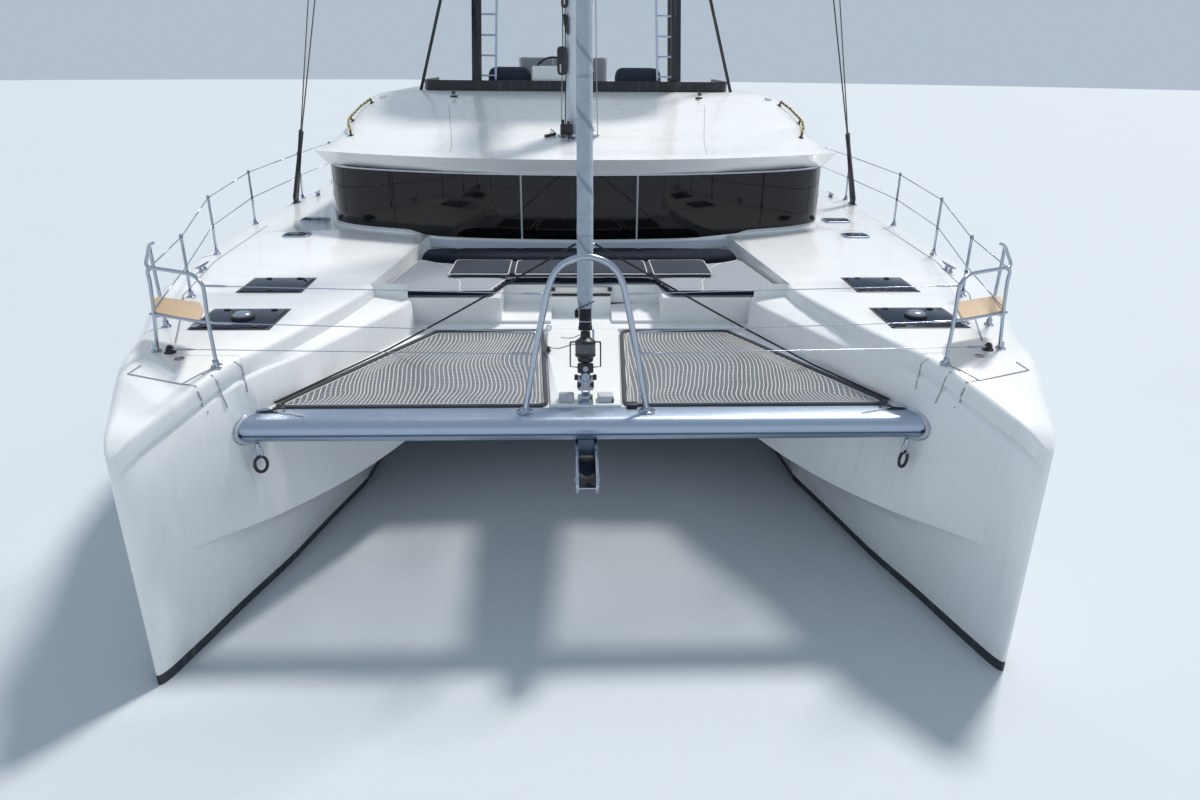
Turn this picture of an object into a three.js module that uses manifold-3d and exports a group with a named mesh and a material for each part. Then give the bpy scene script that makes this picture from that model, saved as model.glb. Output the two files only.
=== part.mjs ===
// Cruising sailing catamaran with a flybridge, afloat, headsail furled.
// Millimetres, +Z up. The origin is on the waterline amidships, the bow points to -Y
// and port is +X. Everything is drawn for port and mirrored where the boat is symmetrical.

import * as THREE from 'three';
import { mergeVertices } from 'three/addons/utils/BufferGeometryUtils.js';
import Module from 'manifold-3d';

const wasm = await Module();
wasm.setup();

// Driving sizes
const BOW_Y = -7000;
const STERN_Y = 7000;
const FIT = 0.3;                 // air between two pieces that touch
const TUNNEL_X = 1600;           // where a hull meets the bridgedeck
const TUNNEL_TOP = 820;          // underside of the bridgedeck
const SOLE_Z = 980;              // saloon and cockpit floor
const LOUNGE_Z = 1900;           // foredeck lounge floor, foot of the house
const LOUNGE_X = [1925, 1690];   // half width at the lounge's front and back
const LOUNGE_BACK_Y = -1700;     // under the house's front wall
const FOREDECK_Y = -4080;        // front wall of the bridgedeck
const HOUSE_BACK_Y = 2550;
const WALL = 60;                 // house wall
const PANE = 12;                 // thickness of the glass
const BRIM_LOW_Z = 2780;         // underside of the roof's brim
const BRIM_Z = 2950;             // the brim's sharp edge
const BRIM_X = 3100;
const CEILING_Z = 2960;
const FLY_FLOOR_Z = 3060;
const COAMING_Z = 3540;          // rim of the flybridge
const COCKPIT_X = 2750;
const COCKPIT_BACK_Y = 5400;
const NET_Z = 1590;              // trampolines and the crossbeam's top
const BEAM_BACK_Y = -5970;
const BEAM_TOP_Z = 1600;
const MAST_Y = -1000;
const MAST_FOOT_Z = 3140;
const MAST_TOP_Z = 22500;
const BOOM_Z = 5900;
const GOOSENECK_Y = -700;
const HULL_MID_X = 2850;         // keel line of a hull
const RUDDER_Y = 5900;
const DRIVE_Y = 3900;
const DRIVE_Z = -870;            // propeller shafts
const HARDTOP_Z = 5350;
const STAIR_FRONT_Y = 3600;
const ROUND = 16;                // sides of a round part
const OVER = 10;                 // how far a cutting solid runs past a face
const ABOVE_DECK = 2500;         // top of what is cut down into a deck

// Finishes, read from the photograph
const finish = (color, roughness, metalness) =>
  new THREE.MeshStandardMaterial({ color, roughness, metalness });
const gelcoat = finish(0xf2f3f2, 0.25, 0);
const antifoul = finish(0x14161a, 0.8, 0);
const tinted = finish(0x0c0e12, 0.08, 0);
const black = finish(0x151515, 0.45, 0);
const stainless = finish(0xb9bdc2, 0.25, 0.9);
const aluminium = finish(0x8c9cb0, 0.35, 0.8);
const sparPaint = finish(0xc4ccd6, 0.4, 0.2);
const netting = finish(0xb9b7b4, 0.9, 0);
const padLight = finish(0x9ea3ab, 0.9, 0);
const padDark = finish(0x1d232e, 0.9, 0);
const canvas = finish(0x2a3342, 0.95, 0);
const rolledSail = finish(0x8296ad, 0.9, 0);
const teak = finish(0xc7a27f, 0.7, 0);
const greyPlastic = finish(0xb9bec4, 0.5, 0);
const bronze = finish(0x9a7b45, 0.4, 0.9);

// Solids and cuts

function solid(geometry) {
  const bare = geometry.clone();
  bare.deleteAttribute('normal');
  bare.deleteAttribute('uv');
  const merged = mergeVertices(bare, 1e-3);
  const corners = merged.attributes.position.array;
  const faces = [];
  const index = merged.index.array;
  for (let i = 0; i < index.length; i += 3) {
    const [a, b, c] = [index[i], index[i + 1], index[i + 2]];
    if (a !== b && b !== c && c !== a) faces.push(a, b, c);
  }
  return new wasm.Manifold(new wasm.Mesh({
    numProp: 3,
    vertProperties: new Float32Array(corners),
    triVerts: new Uint32Array(faces),
  }));
}

function surface(manifold) {
  const mesh = manifold.getMesh();
  const geometry = new THREE.BufferGeometry();
  geometry.setAttribute('position', new THREE.BufferAttribute(mesh.vertProperties, 3));
  geometry.setIndex(new THREE.BufferAttribute(mesh.triVerts, 1));
  return geometry;
}

const join = (...pieces) => pieces.reduce((whole, piece) => whole.add(piece));
const cut = (body, ...tools) => tools.reduce((rest, tool) => rest.subtract(tool), body);

// A closed mesh from corners and triangles, turned so that its faces point out
function closed(corners, faces) {
  let volume = 0;
  for (const [a, b, c] of faces) {
    volume += corners[a].dot(new THREE.Vector3().crossVectors(corners[b], corners[c]));
  }
  const geometry = new THREE.BufferGeometry().setFromPoints(corners);
  geometry.setIndex(faces.flatMap(([a, b, c]) => (volume > 0 ? [a, b, c] : [a, c, b])));
  return solid(geometry);
}

// A skin over rings with the same number of corners, closed by a fan at each end
function loft(rings) {
  const sides = rings[0].length;
  const corners = rings.flat();
  const faces = [];
  for (let i = 0; i < rings.length - 1; i++) {
    for (let j = 0; j < sides; j++) {
      const a = i * sides + j;
      const b = i * sides + (j + 1) % sides;
      faces.push([a, b, b + sides], [a, b + sides, a + sides]);
    }
  }
  for (const [start, flip] of [[0, true], [(rings.length - 1) * sides, false]]) {
    const middle = new THREE.Vector3();
    for (let j = 0; j < sides; j++) middle.addScaledVector(corners[start + j], 1 / sides);
    corners.push(middle);
    for (let j = 0; j < sides; j++) {
      const a = start + j;
      const b = start + (j + 1) % sides;
      faces.push(flip ? [corners.length - 1, b, a] : [corners.length - 1, a, b]);
    }
  }
  return closed(corners, faces);
}

// A plate between two grids of corners, top and bottom, of the same rows and columns
function plate(top, bottom) {
  const rows = top.length;
  const cols = top[0].length;
  const corners = [...top.flat(), ...bottom.flat()];
  const low = rows * cols;
  const at = (r, c) => r * cols + c;
  const faces = [];
  const quad = (a, b, c, d) => faces.push([a, b, c], [a, c, d]);
  for (let r = 0; r < rows - 1; r++) {
    for (let c = 0; c < cols - 1; c++) {
      quad(at(r, c), at(r, c + 1), at(r + 1, c + 1), at(r + 1, c));
      quad(low + at(r, c), low + at(r + 1, c), low + at(r + 1, c + 1), low + at(r, c + 1));
    }
  }
  const rim = [];
  for (let c = 0; c < cols; c++) rim.push(at(0, c));
  for (let r = 1; r < rows; r++) rim.push(at(r, cols - 1));
  for (let c = cols - 2; c >= 0; c--) rim.push(at(rows - 1, c));
  for (let r = rows - 2; r > 0; r--) rim.push(at(r, 0));
  rim.forEach((a, i) => {
    const b = rim[(i + 1) % rim.length];
    quad(a, low + a, low + b, b);
  });
  return closed(corners, faces);
}

const xyz = (x, y, z) => new THREE.Vector3(x, y, z);

function block(x0, x1, y0, y1, z0, z1) {
  const box = new THREE.BoxGeometry(x1 - x0, y1 - y0, z1 - z0);
  return solid(box.translate((x0 + x1) / 2, (y0 + y1) / 2, (z0 + z1) / 2));
}

// Prisms: an outline of [u, v] points, pushed along one axis
const AXES = {
  x: [xyz(0, 1, 0), xyz(0, 0, 1), xyz(1, 0, 0)],   // outline in Y and Z
  y: [xyz(0, 0, 1), xyz(1, 0, 0), xyz(0, 1, 0)],   // outline in Z and X
  z: [xyz(1, 0, 0), xyz(0, 1, 0), xyz(0, 0, 1)],   // outline in X and Y
};

function prism(axis, outline, from, to) {
  const shape = new THREE.Shape(outline.map(([u, v]) => new THREE.Vector2(u, v)));
  const body = new THREE.ExtrudeGeometry(shape, { depth: to - from, bevelEnabled: false });
  body.translate(0, 0, from);
  return solid(body.applyMatrix4(new THREE.Matrix4().makeBasis(...AXES[axis])));
}

function rod(a, b, radius, endRadius = radius, sides = ROUND) {
  const length = a.distanceTo(b);
  const body = new THREE.CylinderGeometry(endRadius, radius, length, sides);
  const turn = new THREE.Quaternion().setFromUnitVectors(
    xyz(0, 1, 0), b.clone().sub(a).normalize());
  body.applyQuaternion(turn);
  const middle = a.clone().add(b).multiplyScalar(0.5);
  return solid(body.translate(middle.x, middle.y, middle.z));
}

function pipe(points, radius, steps, sides = 8) {
  const section = new THREE.Shape();
  for (let i = 0; i < sides; i++) {
    const angle = (2 * Math.PI * i) / sides;
    const [u, v] = [radius * Math.cos(angle), radius * Math.sin(angle)];
    if (i === 0) section.moveTo(u, v);
    else section.lineTo(u, v);
  }
  const path = new THREE.CatmullRomCurve3(points, false, 'centripetal');
  return solid(new THREE.ExtrudeGeometry(section, { steps, extrudePath: path }));
}

// A lathe about the Z axis; its profile of [radius, z] starts and ends on the axis
function turned(profile, sides = ROUND) {
  const points = profile.map(([r, z]) => new THREE.Vector2(r, z));
  return solid(new THREE.LatheGeometry(points, sides).rotateX(Math.PI / 2));
}

function moved(manifold, matrix) {
  return solid(surface(manifold).applyMatrix4(matrix));
}
const shifted = (manifold, x, y, z) =>
  moved(manifold, new THREE.Matrix4().makeTranslation(x, y, z));

// The same solid on the starboard side
function mirrored(manifold) {
  const geometry = surface(manifold);
  geometry.scale(-1, 1, 1);
  const index = geometry.index.array;
  for (let i = 0; i < index.length; i += 3) {
    [index[i], index[i + 1]] = [index[i + 1], index[i]];
  }
  return solid(geometry);
}

// A closed outline moved outwards by a distance, or inwards where it is negative
function offset(outline, distance) {
  const n = outline.length;
  let area = 0;
  outline.forEach(([x, y], i) => {
    const [nx, ny] = outline[(i + 1) % n];
    area += x * ny - nx * y;
  });
  const side = Math.sign(area) * distance;
  return outline.map(([x, y], i) => {
    const [px, py] = outline[(i + n - 1) % n];
    const [nx, ny] = outline[(i + 1) % n];
    const before = new THREE.Vector2(x - px, y - py).normalize();
    const after = new THREE.Vector2(nx - x, ny - y).normalize();
    const normal = new THREE.Vector2(before.y + after.y, -before.x - after.x).normalize();
    const reach = side / (normal.x * after.y - normal.y * after.x);
    return [x + normal.x * reach, y + normal.y * reach];
  });
}

// A strip beside an open path, from one distance off it to another
function strip(path, near, far) {
  const edge = (distance) => path.map(([x, y], i) => {
    const [px, py] = path[Math.max(i - 1, 0)];
    const [nx, ny] = path[Math.min(i + 1, path.length - 1)];
    const along = new THREE.Vector2(nx - px, ny - py).normalize();
    return [x + along.y * distance, y - along.x * distance];
  });
  return [...edge(near), ...edge(far).reverse()];
}

// Nodes

const catamaran = new THREE.Group();

function add(name, manifold, material) {
  const mesh = new THREE.Mesh(surface(manifold), material);
  mesh.name = name;
  catamaran.add(mesh);
}

function addPair(name, manifold, material) {
  add(`${name}_port`, manifold, material);
  add(`${name}_starboard`, mirrored(manifold), material);
}

// Hulls

// Columns: y, gunwale x, deck z, inner deck edge x, chine x, chine z, outer waterline x,
// inner waterline x, keel line x, keel line z, shelf's inner edge x, shelf z
const STATIONS = [
  [BOW_Y, 2922, 1690, 2900, 2900, 900, 2920, 2902, 2912, -120, 2899, 1550],
  [-6980, 2940, 1722, 2874, 2878, 900, 2936, 2884, 2912, -160, 2873, 1575],
  [-6920, 2970, 1778, 2824, 2830, 900, 2964, 2859, 2912, -235, 2823, 1620],
  [-6850, 2998, 1820, 2782, 2794, 890, 2983, 2838, 2910, -270, 2781, 1655],
  [-6500, 3112, 1928, 2612, 2592, 840, 3020, 2745, 2900, -380, 2606, 1765],
  [-6100, 3228, 2030, 2425, 2340, 780, 3085, 2645, 2880, -440, 2403, 1875],
  [-5500, 3370, 2035, 2220, 2030, 720, 3190, 2475, 2860, -510, 2150, 1862],
  [-5000, 3540, 2040, 2090, 1760, 730, 3290, 2370, HULL_MID_X, -550, 1950, 1862],
  [-4300, 3750, 2045, 1925, 1470, 750, 3400, 2210, HULL_MID_X, -590, 1650, 1885],
  [FOREDECK_Y, 3800, 2048, 1900, 1390, 755, 3430, 2160, HULL_MID_X, -600, 1570, 1895],
  [-3000, 3930, 2065, 1800, 1390, 755, 3520, 2110, HULL_MID_X, -620, 1500, 1895],
  [-1000, 3970, 2095, 1700, 1390, 755, 3580, 2080, HULL_MID_X, -640, 1500, 1895],
  [1500, 3970, 2100, 1700, 1390, 755, 3600, 2080, HULL_MID_X, -640, 1500, 1895],
  [4500, 3900, 2100, 1700, 1390, 755, 3560, 2110, HULL_MID_X, -560, 1500, 1895],
  [6000, 3790, 2100, 1700, 1390, 755, 3470, 2180, HULL_MID_X, -400, 1500, 1895],
  [STERN_Y, 3700, 2100, 1700, 1390, 755, 3400, 2260, HULL_MID_X, -230, 1500, 1895],
];

// The table's row at any y: a smooth curve through each column, straight for the deck
function station(y) {
  const last = STATIONS.length - 1;
  let i = 0;
  while (i < last - 1 && STATIONS[i + 1][0] < y) i++;
  const [p, a, b, q] = [i - 1, i, i + 1, i + 2].map(
    (k) => STATIONS[Math.min(Math.max(k, 0), last)]);
  const t = (y - a[0]) / (b[0] - a[0]);
  return a.map((low, column) => {
    const high = b[column];
    if (column === 2) return low + (high - low) * t;
    const span = b[0] - a[0];
    const slopeA = a === p ? (high - low) / span : (high - p[column]) / (b[0] - p[0]);
    const slopeB = b === q ? (high - low) / span : (q[column] - low) / (q[0] - a[0]);
    const bend = (3 - 2 * t) * t * t;
    return low + (high - low) * bend
      + span * t * (1 - t) * ((1 - t) * slopeA - t * slopeB);
  });
}

const deckZ = (y) => station(y)[2];
const gunwaleX = (y) => station(y)[1];

const BILGE_ANGLES = [0.26, 0.52, 0.79, 1.05, 1.31];   // radians from the keel line up
const SIDE_SHARES = [0.17, 0.34, 0.52, 0.7, 0.86];     // of the topside's height
const GUNWALE_ROUND = 90;
const EDGE_ROUND = 45;
const SHELF_DROP = 280;                                // from the shelf to the nets' flange
const QUARTER = [0, 0.25, 0.5, 0.75, 1];

// A quarter circle from the outline's side up to its top, outboard (1) or inboard (-1)
const corner = (x, z, radius, side) => QUARTER.map((share) => [
  x - side * radius * (1 - Math.cos(share * Math.PI / 2)),
  z - radius * (1 - Math.sin(share * Math.PI / 2))]);

function hullSection(y, joinsBridgedeck) {
  const [, gunwale, deck, edge, chine, chineZ, outer, inner, keelX, keelZ, shelfX, shelfZ] =
    station(y);
  const innerEdge = joinsBridgedeck ? TUNNEL_X : edge;
  const innerChine = joinsBridgedeck ? TUNNEL_X : chine;
  const chineHeight = joinsBridgedeck ? TUNNEL_TOP : chineZ;
  const bilge = (waterline, angle) =>
    [keelX + (waterline - keelX) * Math.sin(angle), keelZ * Math.cos(angle)];
  const recess = inner - innerChine;
  const round = Math.min(GUNWALE_ROUND, (gunwale - edge) / 4);
  const edgeRound = Math.min(EDGE_ROUND, (gunwale - edge) / 8);
  const side = SIDE_SHARES.map((share) => [
    outer + (gunwale - outer) * (1 - (1 - share) ** 1.4), (deck - round) * share]);
  const shelf = joinsBridgedeck ? [[innerEdge, deck]] : [
    ...corner(innerEdge, deck, edgeRound, -1).reverse(),
    [innerEdge - 8, shelfZ + 45],
    [shelfX + edgeRound * 0.6, shelfZ + 4],
    [shelfX + edgeRound * 0.2, shelfZ - edgeRound * 0.2],
    [shelfX, shelfZ - edgeRound * 0.6],
    [shelfX - 12, shelfZ - SHELF_DROP]];
  const ring = [
    [keelX, keelZ],
    ...BILGE_ANGLES.map((angle) => bilge(outer, angle)),
    [outer, 0],
    ...side,
    ...corner(gunwale, deck, round, 1),
    ...shelf,
    [innerChine, chineHeight],
    [innerChine + recess * 0.12, chineHeight - 14],
    [innerChine + recess * 0.35, chineHeight - 50],
    [innerChine + recess * 0.68, chineHeight * 0.72],
    [innerChine + recess * 0.88, chineHeight * 0.4],
    [inner, 0],
    ...BILGE_ANGLES.toReversed().map((angle) => bilge(inner, angle)),
  ];
  return ring.map(([x, z]) => xyz(x, y, z));
}

const FORE_SECTIONS = [BOW_Y, -6992, -6980, -6955, -6920, -6880, -6820, -6740, -6640, -6520,
  -6400, -6270, -6150, -6020, -5880, -5700, -5500, -5280, -5050, -4820, -4600, -4350, FOREDECK_Y];
const AFT_SECTIONS = [FOREDECK_Y - 1, -3750, -3400, -3000, -2500, -1900, -1200, -400, 500, 1500,
  2500, 3400, 4200, 4900, 5500, 6100, 6600, STERN_Y];

// House outline, one half: x, y from the centreline round to the straight side
const HOUSE_CURVE = [[0, -2100], [1100, -2010], [2100, -1750], [2800, -1370], [3050, -800]];
const HOUSE_X = 3050;
const houseHalf = new THREE.SplineCurve(HOUSE_CURVE.map(([x, y]) => new THREE.Vector2(x, y)))
  .getSpacedPoints(26).map((p) => [p.x, p.y]);
houseHalf.push([HOUSE_X, HOUSE_BACK_Y]);

function bothSides(half) {
  const other = half.filter(([x]) => x > 1).map(([x, y]) => [-x, y]).reverse();
  return [...half, ...other];
}
const houseOutline = bothSides(houseHalf);

// The space inside the wall, open at the back
const openBack = (y) => (y > 0 ? HOUSE_BACK_Y + 100 : y);
const saloonOutline = offset(houseOutline, -WALL).map(([x, y]) => [x, openBack(y)]);
const SALOON_X = 2750;
const SALOON_FRONT_Y = -1900;

// The side decks' inner edge is also the saloon's side below the windows
const saloonSpace = () => join(
  prism('z', saloonOutline, LOUNGE_Z, BRIM_LOW_Z + OVER)
    .intersect(block(-HOUSE_X, HOUSE_X, -2300, HOUSE_BACK_Y, LOUNGE_Z, BRIM_LOW_Z + OVER)),
  block(-SALOON_X, SALOON_X, SALOON_FRONT_Y, HOUSE_BACK_Y + 1, SOLE_Z, LOUNGE_Z + 1));

// Stern steps, from the cockpit down to the bathing platform: y at the back, tread z
const STERN_STEPS = [[5800, SOLE_Z], [6150, 770], [6500, 560], [STERN_Y + OVER, 380]];
const HULL_INNER_STERN_X = 2050;
const BULWARK_X = 3330;
const DECK_BACK_Y = 5500;
// The topside outside the steps drops towards the stern: y, z of what is cut away
const SHEER_DROP = [[5500, 2110], [7100, 700], [7100, 2600], [5500, 2600]];

function sternCuts() {
  const cuts = [block(0, HULL_INNER_STERN_X, DECK_BACK_Y, STERN_Y + OVER, -1000, ABOVE_DECK)];
  let front = COCKPIT_BACK_Y - OVER;
  for (const [back, z] of STERN_STEPS) {
    cuts.push(block(HULL_INNER_STERN_X - OVER, BULWARK_X, front, back, z, ABOVE_DECK));
    front = back - 1;
  }
  cuts.push(prism('x', SHEER_DROP, BULWARK_X - OVER, 4200));
  return cuts;
}

// Trampoline flange inside each bow, from the crossbeam back to the foredeck: x, y
const FLANGE = [[2325, BEAM_BACK_Y - 30], [1345, FOREDECK_Y], [1980, FOREDECK_Y],
  [2560, BEAM_BACK_Y - 30]];
const FLANGE_DEPTH = 45;

// Crossbeam section: flat back and top, round front; y, z
const BEAM_FRONT_Y = -6220;
const BEAM_LOW_Z = 1425;
const BEAM_END_X = 2550;
const beamSection = [[BEAM_BACK_Y, BEAM_LOW_Z], [BEAM_BACK_Y, BEAM_TOP_Z]];
for (let i = 0; i <= 6; i++) {
  const angle = Math.PI / 2 + (Math.PI * i) / 6;
  const radius = (BEAM_TOP_Z - BEAM_LOW_Z) / 2;
  beamSection.push([BEAM_FRONT_Y + radius + radius * Math.cos(angle),
    BEAM_LOW_Z + radius + radius * Math.sin(angle)]);
}

// Deck hatches: centre x, centre y, width, length
const HATCHES = [[2720, -5155, 620, 570], [2760, -4110, 570, 520]];
const HATCH_THICK = 40;
const HATCH_GAP = 6;             // the lid swings, so its edges stay clear of the recess
const hatchTop = (y) => deckZ(y) + 8;

function hatchRecess([x, y, width, length]) {
  const floor = hatchTop(y) - HATCH_THICK;
  const [w, l] = [width / 2 + HATCH_GAP, length / 2 + HATCH_GAP];
  return block(x - w, x + w, y - l, y + l, floor - FIT, ABOVE_DECK);
}

const RUDDER_STOCK = 40;
const RUDDER_BORE = 42;
const STOCK_TOP_Z = 120;

const PLINTH = 45;               // the house's foot stands out from its wall by this much
const PLINTH_TOP_Z = 2105;

function makeHull() {
  const fore = loft(FORE_SECTIONS.map((y) => hullSection(y, false)));
  const aft = loft(AFT_SECTIONS.map((y) => hullSection(y, true)));
  const flange = prism('z', FLANGE, NET_Z - FIT - FLANGE_DEPTH, NET_Z - FIT);
  const lounge = prism('z', [[0, FOREDECK_Y + 2], [LOUNGE_X[0], FOREDECK_Y + 2],
    [LOUNGE_X[1], LOUNGE_BACK_Y], [0, LOUNGE_BACK_Y]], LOUNGE_Z, ABOVE_DECK);
  const house = prism('z', offset(houseOutline, PLINTH + FIT), LOUNGE_Z, ABOVE_DECK);
  const cockpit = block(0, COCKPIT_X, HOUSE_BACK_Y, COCKPIT_BACK_Y, SOLE_Z, ABOVE_DECK);
  const socket = prism('x', offset(beamSection, FIT), 2000, BEAM_END_X + FIT);
  const stockBore = rod(xyz(HULL_MID_X, RUDDER_Y, -900), xyz(HULL_MID_X, RUDDER_Y, STOCK_TOP_Z),
    RUDDER_BORE);
  return cut(join(fore, aft, flange), lounge, house, saloonSpace(), cockpit, socket, stockBore,
    ...sternCuts(), ...HATCHES.map(hatchRecess));
}
const hull = makeHull();
addPair('hull', hull, gelcoat);

// Bridgedeck and foredeck

// Front of the lounge: a wall that leans out over a ledge, with a well in its middle.
// The well's two sides slope up to the back, its middle is level with the longeron.
const LEDGE_Z = 1620;
const FRONT_WALL = [[FOREDECK_Y - OVER, LEDGE_Z], [-3900, LEDGE_Z], [-4015, 1870],
  [-4015, ABOVE_DECK], [FOREDECK_Y - OVER, ABOVE_DECK]];
const WELL_X = 760;
const WELL_BACK_Y = -3520;
const WELL_FLOOR = [[FOREDECK_Y - OVER, LEDGE_Z], [WELL_BACK_Y, 1720], [WELL_BACK_Y, ABOVE_DECK],
  [FOREDECK_Y - OVER, ABOVE_DECK]];
const STEP = [-340, 290, -3600, WELL_BACK_Y - 1, LEDGE_Z - OVER, 1800];
function makeBridgedeck() {
  const sole = block(-TUNNEL_X, TUNNEL_X, SALOON_FRONT_Y, DECK_BACK_Y, TUNNEL_TOP, SOLE_Z);
  const foredeck = block(-TUNNEL_X, TUNNEL_X, FOREDECK_Y, SALOON_FRONT_Y, TUNNEL_TOP, LOUNGE_Z);
  const front = prism('x', FRONT_WALL, -TUNNEL_X - OVER, TUNNEL_X + OVER);
  const well = prism('x', WELL_FLOOR, -WELL_X, WELL_X);
  const path = block(-STEP[1], STEP[1], FOREDECK_Y - OVER, STEP[2], LEDGE_Z, ABOVE_DECK);
  return join(cut(sole.add(foredeck), front, well, path), block(...STEP));
}
add('bridgedeck', makeBridgedeck(), gelcoat);

// Longeron between the nets: half width at the top, at the two ends
const LONGERON_X = [260, 340];
const LONGERON_LEDGE = 60;
const LONGERON_TOP_Z = 1620;
const LONGERON_LOW_Z = [1420, 1330];
function makeLongeron() {
  const ring = (y, half, low) => {
    const wide = half + LONGERON_LEDGE;
    const ledge = NET_Z - FIT;
    const right = [[half, LONGERON_TOP_Z], [half, ledge], [wide, ledge], [wide, ledge - 45],
      [half - 40, low]];
    const left = right.map(([x, z]) => [-x, z]).reverse();
    return [...right, ...left].map(([x, z]) => xyz(x, y, z));
  };
  return loft([ring(BEAM_BACK_Y, LONGERON_X[0], LONGERON_LOW_Z[0]),
    ring(FOREDECK_Y, LONGERON_X[1], LONGERON_LOW_Z[1])]);
}
add('longeron', makeLongeron(), gelcoat);

const crossbeam = prism('x', beamSection, -BEAM_END_X, BEAM_END_X);
add('crossbeam', crossbeam, aluminium);

// Trampolines
const NET_THICK = 12;
const NET = [[LONGERON_X[0] + 8, BEAM_BACK_Y + 5], [2318, BEAM_BACK_Y + 5],
  [1385, FOREDECK_Y - 5], [LONGERON_X[1] + 8, FOREDECK_Y - 5]];
addPair('trampoline', prism('z', NET, NET_Z, NET_Z + NET_THICK), netting);

// Bow roller under the middle of the crossbeam: a channel with its wheel
const ROLLER_TOP_Z = BEAM_LOW_Z - FIT;
function makeBowRoller() {
  const profile = [[-6560, 1200], [-6620, 1290], [-6560, 1390], [-6250, ROLLER_TOP_Z],
    [-5990, ROLLER_TOP_Z], [-5990, 1330], [-6300, 1200]];
  const body = prism('x', profile, -75, 75);
  const channel = prism('x', [[-6700, 1240], [-6700, 1500], [-6240, 1380], [-6240, 1240]],
    -55, 55);
  const wheel = rod(xyz(-60, -6540, 1300), xyz(60, -6540, 1300), 45);
  return join(cut(body, channel), wheel);
}
add('bow_roller', makeBowRoller(), stainless);

// House: a wall round the saloon with its windows cut, panes over the openings

const GLASS_LOW_Z = 2125;
const GLASS_TOP_Z = 2770;
const OPENING_LOW_Z = 2175;
const OPENING_TOP_Z = 2730;
// Window openings in the wall: x from, x to, y from, y to
const FRONT_OPENINGS = [[690, 1980, -2300, -1600], [2080, 2780, -1850, -1150]];
const SIDE_OPENINGS = [[2900, 3200, -650, 650], [2900, 3200, 760, 2150]];
const BULKHEAD_FRONT_Y = 2490;

function makeHouse() {
  const plinth = prism('z', offset(houseOutline, PLINTH), LOUNGE_Z, PLINTH_TOP_Z);
  const walls = cut(join(prism('z', houseOutline, LOUNGE_Z, BRIM_LOW_Z), plinth),
    prism('z', saloonOutline, LOUNGE_Z - OVER, BRIM_LOW_Z + OVER));
  const openings = [block(-590, 590, -2300, -1800, OPENING_LOW_Z, OPENING_TOP_Z)];
  for (const [x0, x1, y0, y1] of [...FRONT_OPENINGS, ...SIDE_OPENINGS]) {
    openings.push(block(x0, x1, y0, y1, OPENING_LOW_Z, OPENING_TOP_Z));
    openings.push(block(-x1, -x0, y0, y1, OPENING_LOW_Z, OPENING_TOP_Z));
  }
  return cut(walls, ...openings);
}
add('saloon_house', makeHouse(), gelcoat);

// Glass panes, each over a stretch of the outline's path
const pane = (path) => prism('z', strip(path, FIT, FIT + PANE), GLASS_LOW_Z, GLASS_TOP_Z);
const frontPath = houseHalf.slice(0, -1);
const between = (x0, x1) => {
  const at = (x) => {
    const i = frontPath.findIndex(([px]) => px >= x);
    const [[ax, ay], [bx, by]] = [frontPath[i - 1], frontPath[i]];
    return [x, ay + ((by - ay) * (x - ax)) / (bx - ax)];
  };
  return [at(x0), ...frontPath.filter(([x]) => x > x0 + 8 && x < x1 - 8), at(x1)];
};
const MULLION_X = 650;
const CORNER_X = 2120;
const middleHalf = between(1, MULLION_X - 10).map(([x, y]) => [x <= 1 ? 0 : x, y]);
const middlePath = [...middleHalf.slice(1).map(([x, y]) => [-x, y]).reverse(), ...middleHalf];
add('windscreen_middle', pane(middlePath), tinted);
addPair('windscreen', pane(between(MULLION_X + 10, CORNER_X - 3)), tinted);
const cornerPath = [between(CORNER_X + 3, 2900)[0],
  ...frontPath.filter(([x]) => x > CORNER_X + 12), [HOUSE_X, 2300]];
addPair('side_window', pane(cornerPath), tinted);

// Aft bulkhead with the doorway, and its sliding door
const DOOR_X = [-1250, -250];
const DOOR_TOP_Z = 2680;
const SILL = 40;
// Windows on the port side of the door: x from, x to, low z
const AFT_WINDOWS = [[-150, 1000, 1150], [1150, 2550, 1950]];
function makeBulkhead() {
  const wide = HOUSE_X - WALL - FIT;
  const panel = [[-wide, LOUNGE_Z], [-SALOON_X + FIT, LOUNGE_Z], [-SALOON_X + FIT, SOLE_Z],
    [SALOON_X - FIT, SOLE_Z], [SALOON_X - FIT, LOUNGE_Z], [wide, LOUNGE_Z],
    [wide, BRIM_LOW_Z], [-wide, BRIM_LOW_Z]];
  const body = prism('y', panel.map(([x, z]) => [z, x]), BULKHEAD_FRONT_Y, HOUSE_BACK_Y);
  const holes = [[...DOOR_X, SOLE_Z + SILL], ...AFT_WINDOWS].map(([x0, x1, low]) =>
    block(x0, x1, BULKHEAD_FRONT_Y - OVER, HOUSE_BACK_Y + OVER, low, DOOR_TOP_Z));
  return cut(body, ...holes);
}
add('aft_bulkhead', makeBulkhead(), gelcoat);

// One pane behind both windows, on the bulkhead's inner face
function makeAftWindow() {
  const lap = 30;
  const [[x0, x1, low], [, x2, sill]] = AFT_WINDOWS;
  const outline = [[x0 - lap, low - lap], [x1 + lap, low - lap], [x1 + lap, sill - lap],
    [x2 + lap, sill - lap], [x2 + lap, DOOR_TOP_Z + lap], [x0 - lap, DOOR_TOP_Z + lap]];
  return prism('y', outline.map(([x, z]) => [z, x]), BULKHEAD_FRONT_Y - FIT - PANE,
    BULKHEAD_FRONT_Y - FIT);
}
add('aft_window', makeAftWindow(), tinted);

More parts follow.
